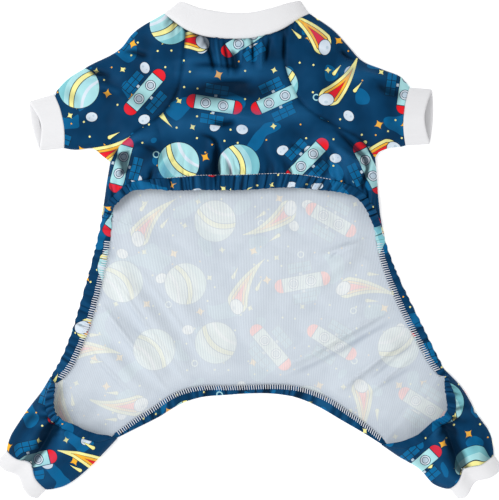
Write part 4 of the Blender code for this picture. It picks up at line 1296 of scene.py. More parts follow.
def past_fold(points: Array, fold: Array) -> Array:
    """Lays the far layer's points flat beside the near layer's, each row turned over at the fold.

    Args:
        points: A grid of X and Y, whose rows each start or end on the fold.
        fold: Where each row meets the fold.

    Returns:
        The same grid mirrored over the fold, as the cloth is before it is folded.
    """
    way = np.gradient(fold, axis=0)
    way = unit(way)
    off = points - fold[:, None]
    along = (off * way[:, None]).sum(axis=-1, keepdims=True)
    return fold[:, None] + 2 * along * way[:, None] - off


def meshed(name: str, shape: bmesh.types.BMesh) -> Mesh:
    """Turns a bmesh into a smooth-shaded mesh, and frees it."""
    for face in shape.faces:
        face.smooth = True
    data = bpy.data.meshes.new(name)
    shape.to_mesh(data)
    shape.free()
    return data


def in_scene(name: str, data: ID) -> Object:
    """Makes an object of some data, and links it into the scene."""
    thing = bpy.data.objects.new(name, data)
    bpy.context.scene.collection.objects.link(thing)
    return thing


def grid_mesh(name: str, grids: list[tuple[Array, Array]], closed: bool = False) -> Mesh:
    """Turns grids of points into one mesh with its cloth map, merged where its points meet.

    Args:
        name: Of the mesh.
        grids: For each grid its points, in the plan's frame, and the cloth map at each, in metres.
        closed: True to fill the ends of a tube.

    Returns:
        The mesh.
    """
    shape = bmesh.new()
    cloth_map = shape.loops.layers.uv.new("cloth")
    relief = shape.verts.layers.float.new("relief")
    for rows, _ in grids:
        bmesh.ops.create_grid(shape, x_segments=rows.shape[1] - 1, y_segments=rows.shape[0] - 1, size=0.5)
    shape.verts.ensure_lookup_table()
    shape.verts.index_update()
    points = np.concatenate([to_frame(rows).reshape(-1, 3) for rows, _ in grids])
    spots = np.concatenate([flat.reshape(-1, 2) for _, flat in grids])
    depths = np.concatenate([rows[..., 3].ravel() if rows.shape[-1] > 3 else np.zeros(rows.shape[:2]).ravel()
                             for rows, _ in grids])
    for vert, point, depth in zip(shape.verts, points, depths):
        vert.co = point
        vert[relief] = depth
    for face in shape.faces:
        for loop in face.loops:
            loop[cloth_map].uv = spots[loop.vert.index]
    bmesh.ops.remove_doubles(shape, verts=shape.verts, dist=MERGE_DISTANCE)
    if closed:
        bmesh.ops.holes_fill(shape, edges=shape.edges, sides=0)
        bmesh.ops.recalc_face_normals(shape, faces=shape.faces)
    return meshed(name, shape)


def placed(name: str, data: Mesh, finishes: list[Material], slot: Slot, *nodes: str) -> Object:
    """Puts a mesh into the scene as a piece that rides on the suit.

    Args:
        name: Of the piece.
        data: Its mesh.
        finishes: Its materials.
        slot: The record's slot; not used.
        *nodes: The solids that it stands for.

    Returns:
        The piece.
    """
    for finish in finishes:
        data.materials.append(finish)
    piece = in_scene(name, data)
    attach(piece, BODY)
    if nodes:
        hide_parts(*nodes)
    log.info("%s: %d points", name, len(data.vertices))
    return piece


def cloth(name: str, rows: Array, flat: Array, wall: float, finishes: list[Material],
          slot: Slot, *nodes: str, flip: bool = False, more: tuple = ()) -> Object:
    """Makes a wall of cloth that follows a grid, its first finish outside and its second inside.

    Args:
        name: Of the piece.
        rows: The middle of its thickness, in the plan's frame.
        flat: The cloth map.
        wall: Its thickness.
        finishes: The finish of the outer face, then of the inner face.
        slot: The record's slot, handed on; not used.
        *nodes: The solids that it stands for.
        flip: True where the grid runs the other way round.
        more: Further grids of the same piece, each with its map, that run as the first does.

    Returns:
        The piece.
    """
    grids = [(rows, flat), *more]
    if flip:
        grids = [(points[:, ::-1], spots[:, ::-1]) for points, spots in grids]
    piece = placed(name, grid_mesh(name, grids), finishes, slot, *nodes)
    skin = piece.modifiers.new("wall", "SOLIDIFY")
    skin.thickness = wall
    skin.offset = 0.0
    skin.use_even_offset = False
    skin.use_rim = True
    skin.material_offset = len(finishes) - 1
    skin.material_offset_rim = 0
    return piece


@dataclass
class Casing:
    """A round-edged band of doubled cloth over an elastic, from its seam to its free edge."""

    name: str
    seam: Array
    edge: Array
    thickness: float
    pleat: float = 0.0
    pleat_pitch: float = 0.0045
    scallop: float = 0.0
    around: int = 26
    seed: int = 1
    # Shares of the pleats' height along the band
    fullness: tuple = ((0.0, 1.0), (1.0, 1.0))

    def section(self) -> tuple[Array, Array]:
        """Place across the band and height over its middle, all the way round it."""
        angle = np.linspace(0, 2 * math.pi, self.around + 1)
        place = 0.5 - 0.5 * np.cos(angle)
        height = np.sign(np.sin(angle)) * np.abs(np.sin(angle)) ** 0.6
        return place, height

    def rows(self) -> tuple[Array, Array]:
        """The band's grid of points, and its cloth map."""
        along = np.gradient(self.seam + self.edge, axis=0)
        across = self.edge - self.seam
        up = np.cross(along, across)
        up = unit(up)
        up *= np.sign(up[:, 2:3] + 1e-12)
        place, height = self.section()
        run = run_length((self.seam + self.edge) / 2)
        wobble = Ripple(self.seed, 0.012, 0.045, 12).along(run)
        swell = Ripple(self.seed + 1, 0.010, 0.030, 12).along(run)
        lean = 1.1 * place[None] * swell[:, None]
        phase = (2 * math.pi * run / self.pleat_pitch + 3.0 * wobble)[:, None] + lean
        ends = smooth_step(run / 0.004) * smooth_step((run[-1] - run) / 0.004)
        ends = ends * smooth_table(self.fullness, run / run[-1])
        waves = 1.0 - 2.0 * np.abs(np.sin(phase / 2)) ** 0.8 + 0.30 * np.sin(2.1 * phase + 1.0)
        waves = -waves * (0.75 + 0.35 * swell)[:, None]
        middle = np.sin(math.pi * place) ** 0.8
        lift = self.pleat * waves * ends[:, None] * (0.45 + 0.55 * middle)[None]
        # Painted shade in the pleats' creases and painted highlight on their crests, through the relief
        relief = np.clip(1.3 * waves, -1.5, 1.4) * ends[:, None]
        full = np.clip(np.linalg.norm(across, axis=1) / (1.5 * self.thickness), 0.2, 1.0)
        lift = (lift + (self.thickness / 2) * height[None]) * full[:, None]
        push = 1.0 + self.scallop * np.sin(phase + 0.8) * ends[:, None] * place[None] ** 2
        points = self.seam[:, None] + across[:, None] * (place[None] * push)[..., None]
        points = points + up[:, None] * lift[..., None]
        width = np.linalg.norm(across, axis=1)[:, None] * place[None]
        flat = np.stack([np.broadcast_to(run[:, None], width.shape), width * np.sign(height + 0.5)], axis=-1)
        return np.concatenate([points, relief[..., None]], axis=-1), flat

    def piece(self, finish: Material, shift: tuple[float, float], node: str,
              lowest: float = -1.0) -> Object:
        """Makes the band a piece, with its cloth map shifted and no point below the lowest height."""
        points, flat = self.rows()
        points[..., 2] = np.maximum(points[..., 2], lowest)
        data = grid_mesh(self.name, [(points, flat + shift)], closed=True)
        return placed(self.name, data, [finish], Slot.PRINT, node)


def stitches(name: str, starts: Array, ends: Array, radius: float, finish: Material,
             sides: int = 5) -> Object:
    """Makes a row of short straight stitches as one piece.

    Args:
        name: Of the piece.
        starts: One end of each stitch, in the plan's frame.
        ends: The other end of each.
        radius: Of the thread.
        finish: The thread's material.
        sides: How many faces go round a stitch.

    Returns:
        The piece.
    """
    shape = bmesh.new()
    for start, end in zip(to_frame(starts), to_frame(ends)):
        way = Vector(end - start)
        turned = way.to_track_quat("Z", "Y").to_matrix().to_4x4()
        place = Matrix.Translation(Vector((start + end) / 2)) @ turned
        bmesh.ops.create_cone(shape, cap_ends=True, cap_tris=True, segments=sides, radius1=radius,
                              radius2=radius * 0.8, depth=way.length, matrix=place)
    return placed(name, meshed(name, shape), [finish], Slot.PRINT)


def overlock(name: str, line: Array, inward: Array, finish: Material,
             width: float = 0.0050, pitch: float = 0.0020, radius: float = 0.00042) -> Object:
    """Sews an overlock over a raw edge, with slanted threads across it.

    Args:
        name: Of the piece.
        line: The raw edge, with its heights.
        inward: For each point of the edge, the direction from it over the hem.
        finish: The thread's material.
        width: How far the threads reach over the hem.
        pitch: The distance between threads.
        radius: Of the thread.

    Returns:
        The piece.
    """
    run = run_length(line)
    count = int(run[-1] / pitch)
    at = np.linspace(0, run[-1], count + 1)
    edge = resampled(line, at, run)
    over = resampled(inward, at, run)
    outer = edge - over * 0.0006
    inner = edge + over * (width - 0.0006)
    slant = (edge[1:] - edge[:-1]) * 0.35
    return stitches(name, outer[:-1], inner[:-1] + slant, radius, finish)


@dataclass
class SewnPart:
    """What every sub-assembly of the suit knows."""

    plan: Plan
    surface: ClothSurface
    finishes: Wardrobe

    @property
    def both_faces(self) -> list[Material]:
        """The printed face, then the pale back of the cloth."""
        return [self.finishes.printed, self.finishes.reverse]


@dataclass
class Chest(SewnPart):
    """The near layer of the body: the chest panel, its gathered belly hem and the topstitching."""

    wall: float = 0.0009
    columns: int = 168
    raglan_rows: int = 84
    flank_rows: int = 42
    gather: float = 0.0011
    casing: float = 0.0030

    def build(self) -> list[Object]:
        """Builds the panel, the hem and the stitches."""
        panel, hem_line = self.panel()
        hem = self.hem(hem_line)
        thread = self.topstitch(hem_line)
        return [panel, hem, thread]

    def gathers(self, grid: Array) -> Array:
        """How the belly hem's elastic pleats the panel above it.

        Args:
            grid: The panel's points in plan.

        Returns:
            The height that the pleats add at each point.
        """
        flat = grid.reshape(-1, 2)
        away = self.plan.belly_seam.distance(flat)
        wobble = self.surface.broad.at(flat)
        close = np.sin(2 * math.pi * flat[:, 0] / 0.0047 + 2.0 * wobble) * bell(away, 0.0070)
        far = np.sin(2 * math.pi * flat[:, 0] / 0.0135 + 3.0 * wobble + 0.7) * bell(away, 0.0230)
        height = self.gather * (0.75 * close + 0.85 * far)
        return height.reshape(grid.shape[:-1])

    def panel(self) -> tuple[Object, Array]:
        """The chest panel, and the line of its lower edge."""
        sides = []
        for side in self.plan.sides.values():
            raglan = side.raglan.at(shares(self.raglan_rows))
            flank = side.flank.at(np.linspace(0, side.row.crossing, self.flank_rows + 1))
            sides.append(np.concatenate([raglan, flank[1:]]))
        columns = spread(self.columns)
        sizes = self.plan.sizes
        neck = self.plan.neck.at(sizes.neck_left + (sizes.neck_right - sizes.neck_left) * columns)
        hem = self.plan.hem_seam.at(columns)
        grid = filled(neck, hem, *sides)
        rows = self.surface.upper(grid, Layer.NEAR, self.wall)
        gathers = self.gathers(grid)
        rows[..., 2] += gathers
        # The gathers also paint shade into their creases and a highlight onto their crests, through the
        # relief
        rows[..., 3] += gathers / RELIEF_HEIGHT
        name = "chest_cloth"
        piece = cloth(name, rows, grid + 0.31, self.wall, self.both_faces, Slot.PRINT, "belly_panel",
                      flip=True)
        return piece, rows[-1, :, :3]

    def hem(self, seam: Array) -> Object:
        """The gathered elastic casing along the lower edge of the chest."""
        steps = 520
        share = shares(steps)
        index = share * (len(seam) - 1)
        fine = resampled(seam, index)
        columns = np.interp(index, range(len(seam)), spread(self.columns))
        line = self.plan.hem_edge.at(columns)
        edge = self.surface.upper(line, Layer.NEAR, self.wall, detail=False)[..., :3]
        edge[:, 2] -= 0.28 * self.plan.sizes.body_loft * np.sin(math.pi * share)
        inset = slice(2, -2)
        band = Casing("belly_hem_casing", fine[inset], edge[inset], self.casing, pleat=0.0011,
                      pleat_pitch=0.0064, scallop=0.022, seed=21)
        return band.piece(self.finishes.printed, (0.11, 0.203), "belly_hem")

    def topstitch(self, seam: Array) -> Object:
        """The fine white stitches that hold the casing."""
        pitch = 0.0027
        stitch = 0.0018
        lifted_seam = seam + np.array([0.0, 0.0, self.wall / 2 + 0.0002])
        run = run_length(lifted_seam)
        first = np.arange(0.24 * run[-1], 0.78 * run[-1], pitch)
        ends = [resampled(lifted_seam, at, run) for at in (first, first + stitch)]
        return stitches("belly_topstitch", *ends, 0.00022, self.finishes.white_thread)


@dataclass
class Back(SewnPart):
    """The far layer of the body, whose inside shows, with its turned hems and their overlocking."""

    wall: float = 0.0009
    raglan_rows: int = 60
    fold_rows: int = 24
    hem_rows: int = 110
    mouth_columns: int = 34
    rump_columns: int = 110
    turned: float = 0.0024
    # The panel and the leg are one cloth, so it runs on past the leg's lip, where it isn't seen
    run_on: float = 0.009
    # How many steps the flank hems run on under the belly hem and over the legs' lips
    tail: int = 20

    def build(self) -> list[Object]:
        """Builds the panel, the three hems and their stitches."""
        panel, hem_seams = self.panel()
        pieces = []
        for side in self.plan.sides.values():
            pieces += self.flank_hem(side, hem_seams[side.side])
        pieces += self.rump_hem(hem_seams["rump"])
        return [panel, *pieces]

    def panel(self) -> tuple[Object, dict]:
        """The back panel, and where each hem's inner edge lies on it."""
        plan = self.plan
        sizes = plan.sizes
        edges = []
        mouths = []
        reach = shares(self.mouth_columns)
        for side in plan.sides.values():
            raglan = side.raglan.at(shares(self.raglan_rows))
            fold = side.flank.at(np.linspace(0, plan.hem_end(side), self.fold_rows + 1))
            inner = plan.flank_hem_lines(side)[0].at(shares(self.hem_rows))
            edge = np.concatenate([raglan, fold[1:], inner[1:]])
            hem_share = np.linalg.norm(edge[-1] - side.leg_out) / sizes.leg_mouth
            rump_share = 0.43 * sizes.rump_hem / sizes.leg_mouth
            mouth = side.mouth.at(hem_share + (1 - hem_share - rump_share) * reach)
            edge[-1] = mouth[0]
            edges.append(edge)
            mouths.append(mouth)
        rump = plan.rump_inner.at(shares(self.rump_columns))
        rump[0] = mouths[0][-1]
        rump[-1] = mouths[1][-1]
        last = np.concatenate([mouths[0][:-1], rump, mouths[1][::-1][1:]])
        columns = run_length(last) / run_length(last)[-1]
        neck = plan.neck.at(sizes.neck_left + (sizes.neck_right - sizes.neck_left) * columns)
        grid = filled(neck, last, *edges)
        rows = self.surface.upper(grid, Layer.FAR, self.wall)
        rows[self.raglan_rows + self.fold_rows + 1:, :, 2] = self.wall / 2
        strips = []
        for side, mouth in zip(plan.sides.values(), mouths):
            strips.append(self.run_on_strip(side, mouth)[:, ::int(-side.sign)])
        for part in (rows, *strips):
            folds = self.raised(part[..., :2])
            part[..., 2] += folds
            # Only the colour reads the relief: the folds' height, painted shade at their feet, and a slight
            # painted shade over the whole panel
            part[..., 3] += (folds + self.shaded(part[..., :2]) - 0.0008) / RELIEF_HEIGHT
            self.over_legs(part)
        shift = np.array([0.47, 0.62])
        more = tuple((part, part[..., :2] * (-1.0, 1.0) + shift) for part in strips)
        piece = cloth("back_cloth", rows, grid * (-1.0, 1.0) + shift, self.wall, self.both_faces, Slot.PRINT,
                      "back_panel", more=more)
        seams = {side.side: plan.flank_hem_lines(side)[0].at(shares(self.hem_rows))
                 for side in plan.sides.values()}
        seams["rump"] = plan.rump_inner.at(shares(self.rump_columns))
        return piece, seams

    def run_on_strip(self, side: SidePlan, mouth: Array, steps: int = 16) -> Array:
        """The cloth that runs on from the panel into a leg, past the leg's lip, before its folds are added.

        Args:
            side: The leg's side.
            mouth: The panel's edge at the leg's mouth.
            steps: The number of rows.

        Returns:
            A grid that starts with that edge.
        """
        behind = side.lip.beside(-side.sign * self.run_on, LEG_HEM_WIDTHS)
        past = behind.at(np.linspace(0.04, 0.96, len(mouth)))
        share = shares(steps)[:, None, None]
        grid = mouth[None] * (1 - share) + past[None] * share
        level = np.full((*grid.shape[:2], 1), self.wall / 2)
        return np.concatenate([grid, level, np.zeros_like(level)], axis=-1)

    def over_legs(self, rows: Array) -> None:
        """Lifts the panel where it runs on over a leg's far layer, so that both have room.

        Args:
            rows: The panel's grid, which is changed.
        """
        flat = rows[..., :2].reshape(-1, 2)
        for side in self.plan.sides.values():
            start, end = side.mouth.at(0.0), side.mouth.at(1.0)
            way = (end - start) / np.linalg.norm(end - start)
            past = (flat - start) @ np.array([way[1], -way[0]]) * -side.sign
            lift = 0.0014 * smooth_step((past + 0.004) / 0.004)
            rows[..., 2] += lift.reshape(rows.shape[:-1])

    def raised(self, grid: Array) -> Array:
        """How far the folds of the open back stand off the ground at each point."""
        plan = self.plan
        left, right = plan.sides.values()
        flat = grid.reshape(-1, 2)
        folds = fold_heights(BACK_FOLDS, flat, plan.open_back)
        small = 1.5 * fold_heights(BACK_CREASES, flat, plan.open_back)
        rims = Segments([left.flank, right.flank, plan.rump])
        inside = rims.distance(flat)
        under = smooth_step((plan.open_back.top - 0.30 * plan.sizes.flank - flat[:, 1]) / 0.022)
        height = np.clip(folds, 0, None) * smooth_step(inside / 0.022 - 0.55) * under
        height += small * smooth_step((inside - 0.010) / 0.012) * under
        soft = 0.0007 + 0.0005 * self.surface.broad.at(flat) + 0.00012 * self.surface.fine.at(flat)
        height += np.clip(soft, 0, None) * smooth_step((inside - 0.012) / 0.014)
        return height.reshape(grid.shape[:-1])

    def shaded(self, grid: Array) -> Array:
        """How deep the painted shade at the feet of the folds is at each point."""
        depth = stroke_heights(BACK_PAINTED_SHADE, grid.reshape(-1, 2), self.plan.open_back)
        return 1.35 * depth.reshape(grid.shape[:-1])

    def hem_lines(self, inner: Array, outer: Curve, steps: int, before: int, after: int) -> list[Array]:
        """A turned hem's seam and fold at its middle height, run on straight past both ends.

        Args:
            inner: The points of its seam.
            outer: Its fold.
            steps: How many steps both lines have between their true ends.
            before: How many more each has before its start.
            after: How many after its end.

        Returns:
            The seam's points, then the fold's.
        """
        share = shares(steps)
        flat = (resampled(inner, share * (len(inner) - 1)), outer.at(share))
        level = np.full(steps + 1, self.turned / 2)
        return [longer(np.column_stack([line, level]), before, after) for line in flat]

    def flank_hem(self, side: SidePlan, inner: Array) -> list[Object]:
        """One turned flank hem with the overlock along its inner edge."""
        seam, fold = self.hem_lines(inner, self.plan.flank_hem_lines(side)[1], 420, 2 * self.tail, self.tail)
        share = np.linspace(0, 1, len(fold))
        past_end = (np.arange(len(fold)) - (len(fold) - 1 - self.tail)) / self.tail
        taper = 0.5 * smooth_step(past_end)
        seam = seam + (fold - seam) * taper[:, None]
        inward = seam - fold
        inward = unit(inward)
        run = run_length(fold)
        wobble = Ripple(31, 0.02, 0.06, 10).along(run)
        scallop = np.sin(2 * math.pi * run / self.plan.sizes.gather_pitch + 1.6 * wobble)
        ends = smooth_step(share / 0.05) * smooth_step((1 - share) / 0.05)
        fold = fold - inward * (0.00035 * scallop * ends)[:, None]
        seam = seam + inward * (0.0003 * scallop * ends)[:, None]
        band = Casing(f"flank_hem_casing_{side.side.word}", seam, fold, self.turned, pleat=0.0005,
                      pleat_pitch=self.plan.sizes.gather_pitch, seed=31,
                      fullness=((0.0, 0.9), (0.25, 0.4), (0.6, 0.5), (0.85, 0.9), (1.0, 0.5)))
        hem = band.piece(self.finishes.printed, (0.2 + 0.1 * side.sign, 0.4), f"flank_hem_{side.side.word}",
                         0.0001)
        rise = np.array([0.0, 0.0, 0.75 * self.turned])
        start = int((0.20 if side.side is Side.LEFT else 0.12) * len(seam))
        stitched = slice(start, -self.tail - 6)
        sewn = overlock(f"flank_overlock_{side.side.word}", seam[stitched] + rise, -inward[stitched],
                        self.finishes.white_thread)
        return [hem, sewn]

    def rump_hem(self, inner: Array) -> list[Object]:
        """The turned hem over the rump, with its overlock."""
        seam, fold = self.hem_lines(inner, self.plan.rump, 300, 15, 15)
        inward = seam - fold
        inward = unit(inward)
        from_end = np.minimum(np.arange(len(seam)), np.arange(len(seam))[::-1])
        seam = seam + inward * (0.0016 * (1 - smooth_step(from_end / 36)))[:, None]
        # Past its true ends the hem narrows, so that it runs in smoothly under the leg's rim
        seam = fold + (seam - fold) * (0.25 + 0.75 * smooth_step(from_end / 15))[:, None]
        band = Casing("rump_hem_casing", seam, fold, self.turned, pleat=0.00012, pleat_pitch=0.013, seed=41)
        hem = band.piece(self.finishes.printed, (0.05, 0.52), "rump_hem", 0.0001)
        rise = np.array([0.0, 0.0, 0.75 * self.turned])
        sewn = overlock("rump_overlock", seam[18:-18] + rise, -inward[18:-18], self.finishes.white_thread,
                        width=0.0040)
        return [hem, sewn]


def longer(line: Array, before: int, after: int) -> Array:
    """Runs a line on straight, by so many of its own steps at its start and at its end."""
    start = line[0] - (line[1] - line[0]) * np.arange(before, 0, -1)[:, None]
    end = line[-1] + (line[-1] - line[-2]) * np.arange(1, after + 1)[:, None]
    return np.concatenate([start, line, end])


def doubled(rows: Array, radius: float, turn_back: float, steps: int = 6) -> Array:
    """Folds the last row of a tube inwards, as on a rib band that is sewn double.

    Args:
        rows: The tube, whose last row is its free rim.
        radius: Of the fold.
        turn_back: How far the inner layer runs back.
        steps: The number of rows round the fold.

    Returns:
        The tube with its turned rim.
    """
    out = rows[-1] - rows[-3]
    out = unit(out)
    centre = rows.mean(axis=(0, 1))
    inward = grid_normals(rows)[-1]
    inward *= np.sign(((centre - rows[-1]) * inward).sum())
    made = [rows]
    for angle in np.linspace(0, math.pi, steps + 1)[1:]:
        turn = out * (radius * math.sin(angle)) + inward * (radius * (1 - math.cos(angle)))
        made.append((rows[-1] + turn)[None])
    last = rows[-1] + inward * (2 * radius)
    for share in shares(steps)[1:]:
        made.append((last - out * turn_back * share)[None])
    return np.concatenate(made)


@dataclass
class RibBand(SewnPart):
    """A rib knit tube sewn double, with its ribs running away from the seam."""

    wall: float = 0.0010
    rib_pitch: float = 0.0017
    rib_depth: float = 0.00010
    columns: int = 150
    steps: int = 18

    def ring(self, name: str, node: str, near: Array, far: Array, flat_size: tuple[float, float],
             flip: bool) -> Object:
        """Sews a near and a far layer into a ring, ribs it and turns its rim in.

        Args:
            name: Of the piece.
            node: The solid that it stands for.
            near: The near layer's grid, from the seam to the rim.
            far: The far layer's.
            flat_size: The size of its cut; not used.
            flip: True where the grid runs the other way round.

        Returns:
            The piece.
        """
        rows = np.concatenate([near, far[:, ::-1][:, 1:]], axis=1)
        round_run = run_length(rows[len(rows) // 2])
        ribs = np.cos(2 * math.pi * round_run / self.rib_pitch)
        shrink = smooth_step(np.linspace(0, 1, len(rows)) / 0.12)
        rows = rows + grid_normals(rows) * (self.rib_depth * ribs[None] * shrink[:, None])[..., None]
        rows = doubled(rows, 0.0009, 0.006)
        length = run_length(rows[:, rows.shape[1] // 4])
        flat = np.stack(np.broadcast_arrays(round_run[None, :], length[:, None]), axis=-1)
        piece = cloth(name, rows, flat, self.wall, [self.finishes.rib], Slot.RIB, node, flip=flip)
        return piece


@dataclass
class Collar(RibBand):
    """The white rib neckband."""

    columns: int = 260

    def build(self) -> list[Object]:
        """Builds the neckband."""
        share = spread(self.columns, 0.6)
        seam = self.plan.neck.at(share)
        top = self.plan.collar_top.at(share)
        steps = shares(self.steps)[:, None, None]
        grid = seam[None] + steps * (top - seam)[None]
        near = self.surface.upper(grid, Layer.NEAR, self.wall, detail=False)[..., :3]
        far = self.surface.upper(grid, Layer.FAR, self.wall)[..., :3]
        seat = bell(np.linspace(0, self.plan.sizes.collar, self.steps + 1), 0.0016)[:, None]
        middle = smooth_step(share / 0.06) * smooth_step((1 - share) / 0.06)
        near[..., 2] += 0.0007 * np.sin(math.pi * steps[..., 0] ** 0.8) * middle - 0.0012 * seat * middle
        return [self.ring("neck_rib_knit", "neck_rib", near, far, (0.236, 0.040), flip=False)]


@dataclass
class Sleeve(RibBand):
    """A raglan sleeve, near and far layer in one piece, with its rib cuff."""

    side: Side = Side.LEFT
    cloth_wall: float = 0.0009
    across: int = 74
    raglan_rows: int = 84
    end_rows: int = 30
    # How far the cuff's seam bows towards the body, and its far rim away from it
    seam_depth: float = 0.0040
    rim_depth: float = 0.0020

    def build(self) -> list[Object]:
        """Builds the sleeve and its cuff."""
        return [self.sleeve(), self.cuff()]

    def seam_bow(self, across: Array) -> Array:
        """How far the seam at the sleeve's end stands off a straight line, at each share across it."""
        side = self.plan.sides[self.side]
        way = side.underarm.at(1.0) - side.shoulder_fold.at(1.0)
        towards_body = left_of(way) / np.linalg.norm(way) * -side.sign
        return np.outer(np.sin(math.pi * across) ** 0.8, towards_body) * self.seam_depth

    def sleeve(self) -> Object:
        """The sleeve, a sheet folded over along the shoulder."""
        plan = self.plan
        sizes = plan.sizes
        side = plan.sides[self.side]
        to_armpit = np.linspace(0, sizes.armpit_share, self.raglan_rows + 1)
        past = np.linspace(sizes.armpit_share, 1, self.end_rows + 1)[1:]
        fold = side.shoulder_fold.at(np.concatenate([to_armpit, past]))
        seam = np.concatenate([side.raglan.at(shares(self.raglan_rows)),
                               side.underarm.at(shares(self.end_rows))[1:]])
        across = spread(self.across, 0.5)
        if self.side is Side.LEFT:
            neck = plan.neck.at(sizes.neck_left * across)
        else:
            neck = plan.neck.at(1 - (1 - sizes.neck_right) * across)
        end = fold[-1] + np.outer(across, seam[-1] - fold[-1]) + self.seam_bow(across)
        grid = filled(neck, end, fold, seam)
        near = self.surface.upper(grid, Layer.NEAR, self.cloth_wall)
        far = self.surface.upper(grid, Layer.FAR, self.cloth_wall)
        rows = np.concatenate([far[:, ::-1], near[:, 1:]], axis=1)
        flat = np.concatenate([past_fold(grid, fold)[:, ::-1], grid[:, 1:]], axis=1)
        name = f"sleeve_cloth_{self.side.word}"
        piece = cloth(name, rows, flat + (0.7 + 0.15 * side.sign, 0.35), self.cloth_wall, self.both_faces,
                      Slot.PRINT, f"sleeve_{self.side.word}", flip=self.side is Side.LEFT)
        return piece

    def cuff(self) -> Object:
        """The rib cuff, whose near rim stands back so that the far inside shows."""
        side = self.plan.sides[self.side]
        steps = shares(self.steps)
        top = side.cuff_top.at(steps)
        low = side.cuff_low.at(steps)
        across = spread(self.columns // 2, 0.8)
        grid = top[:, None] + across[None, :, None] * (low - top)[:, None]
        bow = self.seam_bow(across)[None] * (1 - steps)[:, None, None]
        rim = self.seam_bow(across)[None] * (self.rim_depth / self.seam_depth * steps ** 2)[:, None, None]
        near = self.surface.upper(grid + bow, Layer.NEAR, self.wall, detail=False)[..., :3]
        far = self.surface.upper(grid + bow - rim, Layer.FAR, self.wall)[..., :3]
        set_back = 0.26 * np.sin(math.pi * across)[None, :, None] * steps[:, None, None]
        near = near - set_back * (near - near[:1])
        name = f"sleeve_cuff_rib_{self.side.word}"
        return self.ring(name, f"sleeve_cuff_{self.side.word}", near, far, (0.092, 0.036),
                         flip=self.side is Side.LEFT)


